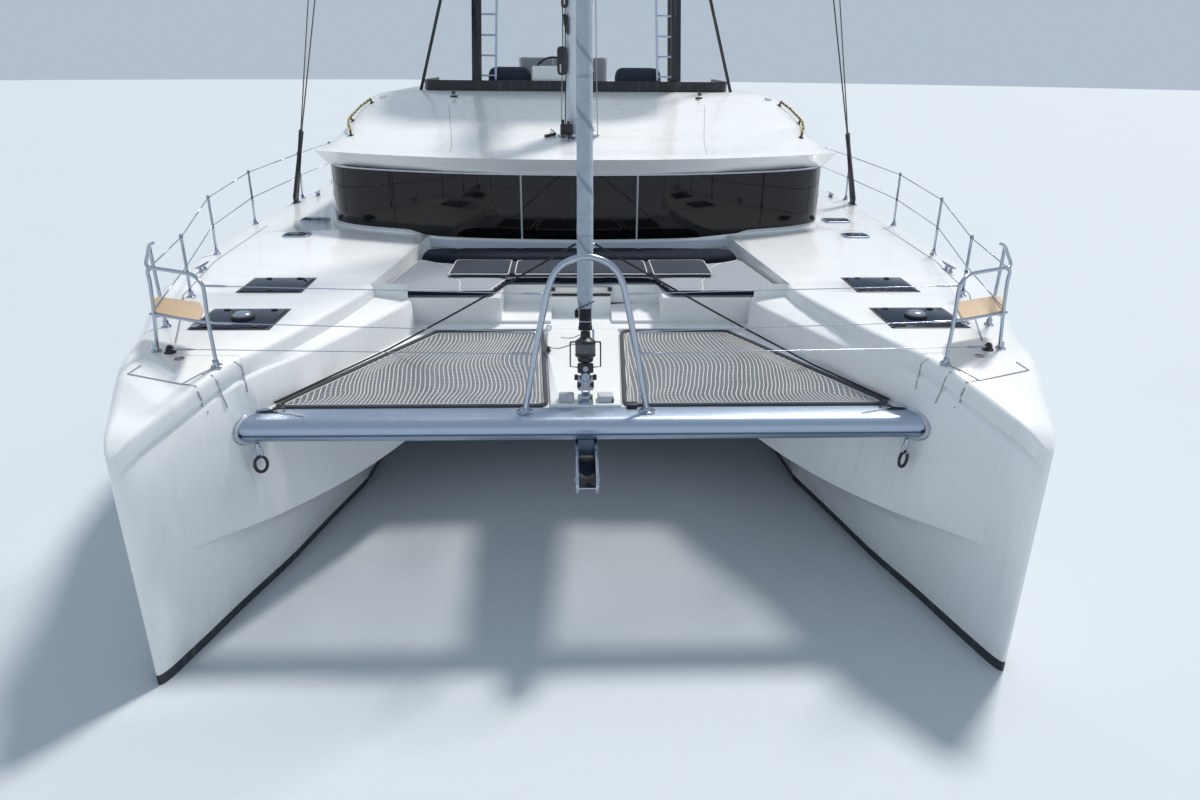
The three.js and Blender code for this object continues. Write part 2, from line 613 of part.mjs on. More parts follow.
const DOOR_THICK = 40;
const DOOR_LAP = 45;             // the closed door covers the doorway's edges by this much
function makeDoor() {
  const y = HOUSE_BACK_Y + FIT;
  const low = SOLE_Z + FIT;
  const body = block(DOOR_X[0] - DOOR_LAP, DOOR_X[1] + DOOR_LAP, y, y + DOOR_THICK, low,
    DOOR_TOP_Z + DOOR_LAP);
  const handle = block(DOOR_X[0] + 40, DOOR_X[0] + 70, y + DOOR_THICK - 1, y + DOOR_THICK + 35,
    1850, 2150);
  return join(body, handle);
}
add('saloon_door', makeDoor(), tinted);

// Roof with its brim, the flybridge well and two aft pillars

// Roof rows from the front brim to the back one.
// Columns: y at the centre, y at the side, centre z
const ROOF_ROWS = [
  [-2200, -1300, BRIM_Z],
  [-1700, -1050, 3010],
  [-1000, -700, 3120],
  [0, -100, 3330],
  [900, 600, COAMING_Z],
  [1100, 900, COAMING_Z],
  [2400, 2200, COAMING_Z],
  [3800, 3800, COAMING_Z],
  [5000, 5000, COAMING_Z],
  [5500, 5500, 3090],
  [5800, 5800, BRIM_Z],
];
// Across a row: share of the brim's half width, share of the row's rise
const ROOF_ACROSS = [[0, 1], [0.25, 1], [0.5, 1], [0.72, 1], [0.78, 0.995], [0.83, 0.98],
  [0.87, 0.945], [0.9, 0.88], [0.93, 0.73], [0.955, 0.5], [0.98, 0.22], [1, 0]];
const FLAT_ROW = 4;              // from this row on the coaming is level
const ROOF_CROWN = 40;

function makeRoof() {
  const sides = [...ROOF_ACROSS.slice(1).map(([s, g]) => [-s, g]).reverse(), ...ROOF_ACROSS];
  const rows = ROOF_ROWS.flatMap((row, r) => {
    const next = ROOF_ROWS[r + 1];
    return !next || r >= FLAT_ROW ? [row]
      : [0, 1 / 3, 2 / 3].map((t) => row.map((v, k) => v + (next[k] - v) * t
        + (k === 2 ? ROOF_CROWN * t * (1 - t) : 0)));
  });
  const top = rows.map(([yc, ys, zc]) => sides.map(([share, rise]) => {
    const y = yc + (ys - yc) * Math.abs(share) ** 2.2;
    return xyz(share * BRIM_X, y, BRIM_Z + (zc - BRIM_Z) * rise);
  }));
  const low = top.map((row, r) => row.map((p) => {
    const back = r / (rows.length - 1);
    return xyz(p.x * 0.961, p.y + 140 - 240 * back, BRIM_LOW_Z);
  }));
  const shell = plate(top, low);
  const ceiling = block(-2800, 2800, -1350, 5600, BRIM_LOW_Z - 10, CEILING_Z)
    .intersect(prism('z', offset(houseOutline.map(([x, y]) => [x, y > 2000 ? 5650 : y]), -200),
      BRIM_LOW_Z - 10, CEILING_Z));
  const well = block(-1950, 1950, 1050, 4850, FLY_FLOOR_Z, 3800);
  const stairHole = block(-2600, -1800, STAIR_FRONT_Y, 5300, 2000, 3800);
  const stepSeat = block(-200, 200, MAST_Y - 290, MAST_Y + 290, MAST_FOOT_Z, 3400);
  const mastStep = block(-190, 190, MAST_Y - 280, MAST_Y + 280, 3040, MAST_FOOT_Z);
  const pillar = block(2780, 2920, 5080, 5260, 2100 + FIT, CEILING_Z + 20);
  return join(cut(shell, stepSeat, ceiling, well, stairHole), mastStep,
    pillar, mirrored(pillar));
}
add('coachroof', makeRoof(), gelcoat);

// Flybridge: screen round the front, seats, helm, hardtop on its frames

const SCREEN_TOP_Z = 3680;
const SCREEN = [[2140, 2600], [2140, 1300], [2070, 1080], [1900, 990], [900, 945], [0, 935]];
const screenPath = [...SCREEN, ...SCREEN.slice(0, -1).map(([x, y]) => [-x, y]).reverse()];
add('flybridge_screen', prism('z', strip(screenPath, 0, -30), COAMING_Z, SCREEN_TOP_Z), black);

add('flybridge_seat_starboard', block(-1250, -660, 1090, 1700, FLY_FLOOR_Z, 3850), canvas);
add('flybridge_seat_port', block(560, 1200, 1090, 1700, FLY_FLOOR_Z, 3850), canvas);

// Helm: console with a sloping face, wheel on a shaft, bench behind
const HELM_X = -340;
const WHEEL_Y = 1700;
const WHEEL_Z = 3700;
const WHEEL_RADIUS = 290;
function makeConsole() {
  const profile = [[1090, FLY_FLOOR_Z], [1090, 3700], [1180, 3870], [1420, 3870],
    [1600, 3560], [1600, FLY_FLOOR_Z]];
  const boss = rod(xyz(HELM_X, 1500, WHEEL_Z), xyz(HELM_X, 1650, WHEEL_Z), 45);
  return join(prism('x', profile, HELM_X - 290, HELM_X + 250), boss);
}
add('helm_console', makeConsole(), greyPlastic);

function makeWheel() {
  const ring = solid(new THREE.TorusGeometry(WHEEL_RADIUS, 15, 8, 28));
  const parts = [ring, rod(xyz(0, 0, -25), xyz(0, 0, 25), 50)];
  for (let i = 0; i < 5; i++) {
    const angle = Math.PI / 2 + (2 * Math.PI * i) / 5;
    const tip = xyz(WHEEL_RADIUS * Math.cos(angle), WHEEL_RADIUS * Math.sin(angle), 0);
    parts.push(rod(xyz(0, 0, 0), tip, 10, 10, 8));
  }
  const stand = new THREE.Matrix4().makeTranslation(HELM_X, WHEEL_Y, WHEEL_Z)
    .multiply(new THREE.Matrix4().makeRotationX(Math.PI / 2));
  return join(moved(join(...parts), stand),
    rod(xyz(HELM_X, 1650 + FIT, WHEEL_Z), xyz(HELM_X, WHEEL_Y, WHEEL_Z), 30));
}
add('steering_wheel', makeWheel(), black);

function makeHelmSeat() {
  const base = block(-900, 500, 2280, 2850, FLY_FLOOR_Z, 3450);
  const back = block(-900, 500, 2740, 2850, 3440, 4000);
  return join(base, back);
}
add('helm_seat', makeHelmSeat(), padLight);

// Hardtop and its two frames
const HARDTOP_X = 1900;
const HARDTOP_Y = [450, 4700];
const hardtopOutline = bothSides([[0, HARDTOP_Y[0]], [1300, HARDTOP_Y[0] + 90],
  [1750, HARDTOP_Y[0] + 300], [HARDTOP_X, HARDTOP_Y[0] + 700], [HARDTOP_X, HARDTOP_Y[1] - 300],
  [1700, HARDTOP_Y[1]], [0, HARDTOP_Y[1]]]);
add('hardtop', prism('z', hardtopOutline, HARDTOP_Z, HARDTOP_Z + 90), gelcoat);

const POST_FOOT = xyz(1400, 1010, COAMING_Z);
const POST_HEAD = xyz(1330, 1010, HARDTOP_Z);
function slantedPost(foot, head, wide, deep) {
  const ring = (p) => [[-1, -1], [1, -1], [1, 1], [-1, 1]].map(
    ([u, v]) => xyz(p.x + (u * wide) / 2, p.y + (v * deep) / 2, p.z));
  return loft([ring(foot), ring(head)]);
}
function makeHardtopFrame() {
  const top = HARDTOP_Z - FIT;
  const front = slantedPost(POST_FOOT, POST_HEAD.clone().setZ(top), 130, 60);
  const back = slantedPost(xyz(1740, 4925, COAMING_Z), xyz(1630, 4500, top), 70, 60);
  const strut = slantedPost(xyz(2204, 1160, COAMING_Z), xyz(1640, 1010, top), 40, 40);
  const rail = block(1290, 1670, 980, 1040, top - 60, top);
  const side = block(1600, 1660, 980, 4530, top - 60, top);
  const stile = slantedPost(xyz(1140, 1010, COAMING_Z), xyz(1050, 1010, top - 10), 30, 30);
  const topTie = block(1030, 1300, 985, 1035, top - 60, top);
  const parts = [front, back, strut, rail, side, stile, topTie];
  for (let z = COAMING_Z + 200; z < top - 100; z += 260) {
    const shift = ((z - COAMING_Z) / (top - COAMING_Z)) * 85;
    parts.push(rod(xyz(1138 - shift, 1010, z), xyz(1350 - shift * 0.8, 1010, z), 12, 12, 8));
  }
  return join(...parts);
}
addPair('hardtop_frame', makeHardtopFrame(), black);

// Flybridge stairs, up from the cockpit on the starboard side: treads on two stringers
function makeStairs() {
  const parts = [];
  const treads = 7;
  const [lowY, highY] = [5200, 3850];
  for (let i = 0; i < treads; i++) {
    const y = lowY + ((highY - lowY) * i) / (treads - 1);
    const z = SOLE_Z + 290 + ((FLY_FLOOR_Z - SOLE_Z - 290 - 180) * i) / (treads - 1);
    parts.push(block(-2540, -1990, y - 130, y + 130, z - 40, z));
  }
  const top = STAIR_FRONT_Y + FIT;
  const rake = [[5380, SOLE_Z], [5250, SOLE_Z], [top, 2850], [top, 3000], [top + 110, 3000]];
  for (const x of [-2560, -2000]) parts.push(prism('x', rake, x, x + 30));
  return join(...parts);
}
add('flybridge_stairs', makeStairs(), gelcoat);

// The forestay's line, from the crossbeam to the mast
const SAIL_TOP = 16700;
const STAY_FOOT = xyz(0, -5850, 1700);
const STAY_HEAD = xyz(0, MAST_Y - 215, 18900);
const stayLine = STAY_HEAD.clone().sub(STAY_FOOT).normalize();
const onStay = (distance) => STAY_FOOT.clone().addScaledVector(stayLine, distance);
const STAY_LENGTH = STAY_HEAD.distanceTo(STAY_FOOT);

// Mast with spreaders and the boom's bracket

const MAST_X = 150;              // half width
const MAST_DEEP = 225;           // half depth
function mastRing(z, scale) {
  const ring = [];
  for (let i = 0; i < ROUND; i++) {
    const angle = (2 * Math.PI * i) / ROUND;
    ring.push(xyz(MAST_X * scale * Math.cos(angle),
      MAST_Y + MAST_DEEP * scale * Math.sin(angle), z));
  }
  return ring;
}
const HOUNDS_Z = 20500;          // cap shrouds
const LOWERS_Z = 17000;
const TANG_X = 170;
// Spreaders: height, reach
const SPREADERS = [[8400, 1000], [13600, 750]];
function makeMast() {
  const tube = loft([mastRing(MAST_FOOT_Z, 1), mastRing(18000, 1), mastRing(MAST_TOP_Z, 0.72)]);
  const parts = [tube];
  for (const [z, reach] of SPREADERS) {
    const arm = rod(xyz(60, MAST_Y, z), xyz(reach, MAST_Y + reach * 0.35, z + 60), 45, 25, 8);
    parts.push(arm, mirrored(arm));
  }
  const lug = (z) => block(-50, 50, MAST_Y + 190, GOOSENECK_Y + 55, z, z + 20);
  parts.push(lug(BOOM_Z - 80), lug(BOOM_Z + 65));
  for (const z of [HOUNDS_Z, LOWERS_Z]) {
    parts.push(block(-TANG_X - 25, TANG_X + 25, MAST_Y - 20, MAST_Y + 20, z, z + 60));
  }
  parts.push(rod(onStay(SAIL_TOP + FIT), onStay(STAY_LENGTH + 20), 12));
  return join(...parts);
}
add('mast', makeMast(), sparPaint);

const BOOM_END_Y = 5600;
function makeBoom() {
  const ring = (y, wide, tall) => {
    const points = [];
    for (let i = 0; i < 12; i++) {
      const angle = (2 * Math.PI * i) / 12;
      points.push(xyz(wide * Math.cos(angle), y, BOOM_Z + tall * Math.sin(angle)));
    }
    return points;
  };
  const spar = loft([ring(GOOSENECK_Y + 130, 70, 90), ring(GOOSENECK_Y + 400, 110, 150),
    ring(BOOM_END_Y, 110, 150)]);
  const low = BOOM_Z - 60 + FIT;
  const tongue = join(rod(xyz(0, GOOSENECK_Y, low), xyz(0, GOOSENECK_Y, BOOM_Z + 60), 50),
    block(-40, 40, GOOSENECK_Y, GOOSENECK_Y + 200, low, BOOM_Z + 50));
  return join(spar, tongue);
}
add('boom', makeBoom(), sparPaint);

// Stowed mainsail in its bag on the boom: y, half width, low z, top z
const BAG = [[-250, 120, 6040, 6620], [200, 190, 6040, 6680], [2500, 200, 6040, 6520],
  [4700, 160, 6040, 6330], [5400, 110, 6040, 6220]];
function makeSailBag() {
  return loft(BAG.map(([y, half, low, top]) => {
    const ring = [];
    const sides = 10;
    for (let i = 0; i <= sides; i++) {
      const angle = (Math.PI * i) / sides;
      ring.push(xyz(half * Math.cos(angle), y, low + 120 + (top - low - 120) * Math.sin(angle)));
    }
    ring.push(xyz(-half * 0.5, y, low + 10.3), xyz(half * 0.5, y, low + 10.3));
    return ring;
  }));
}
add('sail_bag', makeSailBag(), canvas);

// Headsail rolled on its foil, with the furling drum, on the line of the forestay
const alongStay = (profile, sides) => {
  const turn = new THREE.Matrix4().makeRotationFromQuaternion(
    new THREE.Quaternion().setFromUnitVectors(xyz(0, 0, 1), stayLine));
  return moved(turned(profile, sides), turn.setPosition(STAY_FOOT));
};
const DRUM_LOW = 190;
const DRUM_TOP = 430;
add('furler_drum', alongStay([[0, DRUM_LOW], [110, DRUM_LOW], [125, DRUM_LOW + 20],
  [125, DRUM_LOW + 45], [60, DRUM_LOW + 60], [60, DRUM_TOP - 70], [125, DRUM_TOP - 55],
  [125, DRUM_TOP - 25], [40, DRUM_TOP], [0, DRUM_TOP]]), black);
add('headsail', alongStay([[0, DRUM_TOP + FIT], [40, DRUM_TOP + FIT], [48, 560], [62, 800],
  [62, 4000], [54, 9000], [42, 14000], [28, SAIL_TOP], [0, SAIL_TOP]], 14), rolledSail);
const toggleBase = block(-30, 30, -5960, -5790, LONGERON_TOP_Z + FIT, LONGERON_TOP_Z + 35);
add('forestay_foot', join(toggleBase, rod(onStay(-45), onStay(DRUM_LOW - FIT), 18)), stainless);

// Shrouds: cap and lower on each side, from one chainplate up to the mast's tangs
const CHAIN_Y = 250;
const CHAIN_INSET = 120;
const SCREW_LENGTH = 900;
function makeShrouds() {
  const plateX = gunwaleX(CHAIN_Y) - CHAIN_INSET;
  const low = deckZ(CHAIN_Y) + FIT;
  const parts = [block(plateX - 12, plateX + 12, CHAIN_Y - 90, CHAIN_Y + 90, low, low + 110)];
  for (const [headZ, shift] of [[HOUNDS_Z, 50], [LOWERS_Z, -50]]) {
    const knee = xyz(plateX, CHAIN_Y + shift, low + 80);
    const head = xyz(TANG_X, MAST_Y, headZ - 2.5);
    const screwTop = knee.clone().lerp(head, SCREW_LENGTH / knee.distanceTo(head));
    const wireFoot = knee.clone().lerp(head, (SCREW_LENGTH - 30) / knee.distanceTo(head));
    parts.push(rod(knee, screwTop, 28, 28, 8), rod(wireFoot, head, 9, 9, 8));
  }
  return join(...parts);
}
addPair('shrouds', makeShrouds(), black);

// Underwater gear, on the hull's keel line

// A fin between two levels: y of the leading and trailing edge at each, half thickness
function fin(topZ, lowZ, topEdges, lowEdges, thick) {
  const ring = (z, [front, back]) => {
    const chord = back - front;
    const shape = [[0, 0], [0.08, 0.6], [0.3, 1], [0.7, 0.6], [1, 0.06]];
    const near = shape.map(([s, t]) => xyz(HULL_MID_X + t * thick, front + s * chord, z));
    const far = shape.slice(1).map(([s, t]) => xyz(HULL_MID_X - t * thick, front + s * chord, z));
    return [...near, ...far.reverse()];
  };
  return loft([ring(topZ, topEdges), ring(lowZ, lowEdges)]);
}

const DRAFT = 1350;
const seated = (piece) => shifted(cut(piece, hull), 0, 0, -FIT);
addPair('keel', seated(fin(-400, -DRAFT, [-900, 1900], [-500, 1500], 150)), antifoul);
addPair('saildrive', seated(join(fin(-300, DRIVE_Z, [DRIVE_Y - 250, DRIVE_Y + 80],
  [DRIVE_Y - 160, DRIVE_Y + 60], 60),
  rod(xyz(HULL_MID_X, DRIVE_Y - 220, DRIVE_Z), xyz(HULL_MID_X, DRIVE_Y + 100, DRIVE_Z), 60, 50))),
  greyPlastic);

function makePropeller() {
  const start = DRIVE_Y + 100 + FIT;
  const hub = rod(xyz(HULL_MID_X, start, DRIVE_Z), xyz(HULL_MID_X, start + 150, DRIVE_Z), 48, 30);
  const parts = [hub];
  for (let i = 0; i < 3; i++) {
    const blade = new THREE.BoxGeometry(8, 130, 190);
    blade.rotateZ(0.7).translate(0, 0, 120).rotateY((2 * Math.PI * i) / 3)
      .translate(HULL_MID_X, start + 70, DRIVE_Z);
    parts.push(solid(blade));
  }
  return join(...parts);
}
addPair('propeller', makePropeller(), bronze);

const RUDDER_TOP_Z = -470;
function makeRudder() {
  const blade = fin(RUDDER_TOP_Z, -DRAFT + 60, [RUDDER_Y - 170, RUDDER_Y + 420],
    [RUDDER_Y - 130, RUDDER_Y + 330], 45);
  const stock = rod(xyz(HULL_MID_X, RUDDER_Y, -1000),
    xyz(HULL_MID_X, RUDDER_Y, STOCK_TOP_Z - FIT), RUDDER_STOCK);
  return join(blade, stock);
}
addPair('rudder', makeRudder(), antifoul);

// Deck hatch lids, hinged along their front edges
HATCHES.forEach(([x, y, width, length], i) => {
  const top = hatchTop(y);
  const lid = block(x - width / 2, x + width / 2, y - length / 2, y + length / 2,
    top - HATCH_THICK, top);
  addPair(`hatch_${i + 1}`, lid, tinted);
});

// Foredeck cushions: a light one all round the well, dark ones on and behind it.
// Outlines of the port half: x, y
const CUSHION_Z = LOUNGE_Z + FIT;
const PAD_TOP_Z = 1985;
const FRONT_PAD = [[840, -4010], [1900, -4010], [1740, -2665], [1550, -2810], [1345, -2880],
  [0, -2900], [0, -3515], [700, -3515]];
const BACK_PAD = [[0, -2890], [650, -2890], [1335, -2870], [1535, -2800], [1725, -2655],
  [1700, -2385], [1000, -2320], [0, -2290]];
const half = (outline, low, top) => {
  const side = prism('z', outline, low, top);
  return join(side, mirrored(side));
};
add('sunpad_front', half(FRONT_PAD, CUSHION_Z, PAD_TOP_Z), padLight);
// Three cushions side by side, drawn as one with two grooves
const MIDDLE_PAD = [-3590, -2930, PAD_TOP_Z + FIT, 2035];
const GROOVES = [-678, 678];
function makeMiddlePad() {
  const [front, back, low, top] = MIDDLE_PAD;
  return cut(block(-1310, 1310, front, back, low, top), ...GROOVES.map((x) =>
    block(x - 18, x + 18, front - OVER, back + OVER, low + 15, top + OVER)));
}
add('sunpad_middle', makeMiddlePad(), padDark);
add('sunpad_back', half(BACK_PAD, CUSHION_Z, 2030), padDark);

// Rails along each side: pulpit at the bow, stanchions, two wires. The feet are cut to the
// deck and stand on it.
const STANCHIONS = [-4500, -2900, -1300, 700, 2300, 3900, 5300];
const RAIL_HEIGHT = 620;
const RAIL_INSET = 75;
const PULPIT_RADIUS = 17;
const railFoot = (x, y) => xyz(x, y, deckZ(y) - 40);
const stood = (piece, floor) => shifted(cut(piece, floor), 0, 0, FIT);

function makePulpit(room) {
  const loop = [railFoot(3030, -5935), xyz(3025, -5970, 2450), xyz(3010, -6010, 2625),
    xyz(2945, -6060, 2680), xyz(2605, -6300, 2690), xyz(2510, -6335, 2655),
    xyz(2490, -6310, 2500), railFoot(2520, -6190)];
  const bar = rod(xyz(3030, -5965, 2370), xyz(2500, -6250, 2370), 14 + room, 14 + room, 8);
  return join(pipe(loop, PULPIT_RADIUS + room, 44), bar);
}

function makeRail() {
  const parts = [makePulpit(0)];
  for (const y of STANCHIONS) {
    const foot = railFoot(gunwaleX(y) - RAIL_INSET, y);
    parts.push(rod(foot, foot.clone().setZ(deckZ(y) + RAIL_HEIGHT), 13, 13, 8));
  }
  for (const height of [RAIL_HEIGHT - 15, RAIL_HEIGHT / 2]) {
    const wire = [xyz(3027, -5970, deckZ(-5970) + height)];
    for (const y of STANCHIONS) wire.push(xyz(gunwaleX(y) - RAIL_INSET, y, deckZ(y) + height));
    for (let i = 0; i < wire.length - 1; i++) {
      parts.push(rod(wire[i], wire[i + 1], 5, 5, 6));
    }
  }
  return stood(join(...parts), hull);
}
addPair('rail', makeRail(), stainless);

// Seats in the pulpits
const BOW_SEAT = [[2485, -6245], [3035, -5950], [3035, -5735], [2625, -5735], [2415, -5970]];
addPair('bow_seat', cut(prism('z', BOW_SEAT, 2385, 2410), shifted(makePulpit(FIT), 0, 0, FIT)),
  teak);

// Hoop that stands on the crossbeam in front of the furler
const HOOP_Y = -6060;
const HOOP_HALF = [[442, BEAM_TOP_Z - 30], [360, 2050], [293, 2370], [256, 2530], [208, 2632],
  [128, 2702]];
const hoopPoints = [...HOOP_HALF, [0, 2735], ...HOOP_HALF.map(([x, z]) => [-x, z]).reverse()]
  .map(([x, z]) => xyz(x, HOOP_Y, z));
add('bow_hoop', stood(pipe(hoopPoints, 23, 40), crossbeam), stainless);

// Cockpit and saloon furniture, seen through the glass and under the roof
function makeTable(x0, x1, y0, y1, topZ) {
  const leg = block((x0 + x1) / 2 - 60, (x0 + x1) / 2 + 60, (y0 + y1) / 2 - 300,
    (y0 + y1) / 2 + 300, SOLE_Z, topZ - 30);
  return join(leg, block(x0, x1, y0, y1, topZ - 40, topZ));
}
const SEAT_TOP_Z = SOLE_Z + 450;
const TABLE_TOP_Z = SOLE_Z + 730;
const COUNTER_TOP_Z = SOLE_Z + 900;
const WALL_SIDE_X = COCKPIT_X - 1;         // furniture ends just short of the wall
add('cockpit_table', makeTable(1100, 1900, 3400, 4800, TABLE_TOP_Z), teak);
add('cockpit_bench', join(block(2150, WALL_SIDE_X, 3100, 5000, SOLE_Z, SEAT_TOP_Z),
  block(700, WALL_SIDE_X, 4990, 5390, SOLE_Z, SEAT_TOP_Z)), padLight);
add('saloon_lounge', join(block(600, WALL_SIDE_X - 9, -1800, -1100, SOLE_Z, SEAT_TOP_Z),
  block(2100, WALL_SIDE_X - 9, -1110, 900, SOLE_Z, SEAT_TOP_Z)), padLight);
add('galley', join(block(-WALL_SIDE_X + 9, -2140, -1800, 1800, SOLE_Z, COUNTER_TOP_Z),
  block(-2150, -700, -1800, -1300, SOLE_Z, COUNTER_TOP_Z)), greyPlastic);

export default catamaran;
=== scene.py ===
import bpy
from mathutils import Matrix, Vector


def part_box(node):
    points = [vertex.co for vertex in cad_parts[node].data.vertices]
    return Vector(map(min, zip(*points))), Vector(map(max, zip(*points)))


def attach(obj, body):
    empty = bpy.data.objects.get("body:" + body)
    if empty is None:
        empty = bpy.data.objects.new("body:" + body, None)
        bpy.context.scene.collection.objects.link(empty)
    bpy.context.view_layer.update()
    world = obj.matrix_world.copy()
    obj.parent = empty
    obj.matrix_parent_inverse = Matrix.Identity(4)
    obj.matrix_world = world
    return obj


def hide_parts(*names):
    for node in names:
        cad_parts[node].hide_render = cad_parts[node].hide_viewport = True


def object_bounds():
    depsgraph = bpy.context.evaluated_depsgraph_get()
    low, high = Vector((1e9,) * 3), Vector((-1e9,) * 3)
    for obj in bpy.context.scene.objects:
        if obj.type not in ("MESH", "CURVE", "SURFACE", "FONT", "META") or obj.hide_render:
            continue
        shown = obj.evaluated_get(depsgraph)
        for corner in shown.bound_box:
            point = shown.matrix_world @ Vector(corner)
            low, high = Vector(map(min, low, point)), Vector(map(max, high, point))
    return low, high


bl_info = {
    "name": "Sailing catamaran dressing",
    "version": (1, 0, 0),
    "blender": (4, 5, 0),
    "location": "3D View > Sidebar > Catamaran",
    "description": "Builds the finishes, nets, cushions and rigging of a sailing catamaran",
    "category": "Object",
}

from math import copysign, cos, exp, pi, radians, sin, tan, tau

import bmesh
import bpy
import numpy as np
from bpy.props import (
    BoolProperty, FloatProperty, FloatVectorProperty, IntProperty, PointerProperty)
from mathutils import Matrix, Vector, noise
from mathutils.bvhtree import BVHTree

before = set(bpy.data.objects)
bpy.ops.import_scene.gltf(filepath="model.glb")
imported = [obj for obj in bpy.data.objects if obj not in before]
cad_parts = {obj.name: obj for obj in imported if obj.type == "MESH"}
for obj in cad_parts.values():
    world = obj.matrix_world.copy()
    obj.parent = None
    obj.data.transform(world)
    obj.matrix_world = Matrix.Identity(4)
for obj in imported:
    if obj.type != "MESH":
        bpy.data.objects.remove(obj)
CAD_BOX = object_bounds()

UP = Vector((0, 0, 1))
SIDES = (("port", 1), ("starboard", -1))
FINISHES = {}
GROUPS = {}
TREES = {}
SLOTS = {
    # The material slot of a piece by its first finish, where the two names differ
    "hull": "gelcoat", "locker lid": "gelcoat", "sill paint": "gelcoat",
    "saildrive paint": "grey_plastic", "interior": "grey_plastic", "worktop": "grey_plastic",
    "sealant": "black_trim", "glass border": "black_trim", "dark rope": "black_trim",
    "wire": "black_trim", "net cord": "netting", "border rope": "netting",
    "white rope": "netting", "house glass": "tinted_glass", "teak along": "teak",
    "teak across": "teak", "seat wood": "teak", "light cushion": "cushion_light",
    "middle cushion": "cushion_dark", "dark cushion": "cushion_dark",
}


# Forms: corners and faces gathered for one piece, each face with a material's place

def turned_to(direction):
    """The rotation that takes +Z to a direction."""
    return UP.rotation_difference(Vector(direction).normalized()).to_matrix().to_4x4()


def placed(point, direction=(0, 0, 1)):
    """The matrix that stands a form on a point, its own +Z along a direction."""
    return Matrix.Translation(Vector(point)) @ turned_to(direction)


def on_side(points, sign):
    """Points of the port side, or the same ones on the starboard side."""
    return [(sign * p[0], *p[1:]) for p in points]


def circle(radius, count, start=0.0):
    """Points (x, y) at equal steps round the origin."""
    turns = [tau * k / count + start for k in range(count)]
    return [(radius * cos(a), radius * sin(a)) for a in turns]


def rounded(outline, radius, steps=4):
    """An outline with each corner replaced by an arc of about that radius."""
    points = [Vector(p[:2]) for p in outline]
    out = []
    for i, here in enumerate(points):
        before, after = points[i - 1] - here, points[(i + 1) % len(points)] - here
        half = max(tan(before.angle(after, 0) / 2), 1e-4)
        reach = min(radius / half, before.length * 0.45, after.length * 0.45)
        start, end = here + before.normalized() * reach, here + after.normalized() * reach
        for k in range(steps + 1):
            t = k / steps
            out.append(tuple(start * (1 - t) ** 2 + here * 2 * t * (1 - t) + end * t * t))
    return out


def oblong(low, high, radius, steps=4, gap=0.0):
    """The rounded outline of a box's plan, moved in by a gap."""
    x0, y0, x1, y1 = low[0] + gap, low[1] + gap, high[0] - gap, high[1] - gap
    return rounded([(x0, y0), (x1, y0), (x1, y1), (x0, y1)], radius, steps)


def inset(outline, distance):
    """An outline moved inwards by a distance."""
    points = np.array([p[:2] for p in outline], float)
    following = np.roll(points, -1, 0)
    area = (points[:, 0] * following[:, 1] - following[:, 0] * points[:, 1]).sum()
    along = following - points
    along /= np.maximum(np.linalg.norm(along, axis=1), 1e-9)[:, None]
    normal = np.stack([-along[:, 1], along[:, 0]], 1) * copysign(1, area)
    both = normal + np.roll(normal, 1, 0)
    size = np.maximum((both * both).sum(1), 0.4)
    return [tuple(p) for p in points + both * (2 * distance / size)[:, None]]


def smooth_path(points, steps=8):
    """A rounded curve through points, with that many short lines to each stretch."""
    knots = [Vector(p) for p in points]
    last = len(knots) - 1
    out = []
    for i in range(last):
        a, b, c, d = (knots[min(max(i + k, 0), last)] for k in (-1, 0, 1, 2))
        for k in range(steps):
            t = k / steps
            out.append(0.5 * ((2 * b) + (c - a) * t + (2 * a - 5 * b + 4 * c - d) * t * t
                              + (3 * b - a - 3 * c + d) * t ** 3))
    return out + [knots[-1]]


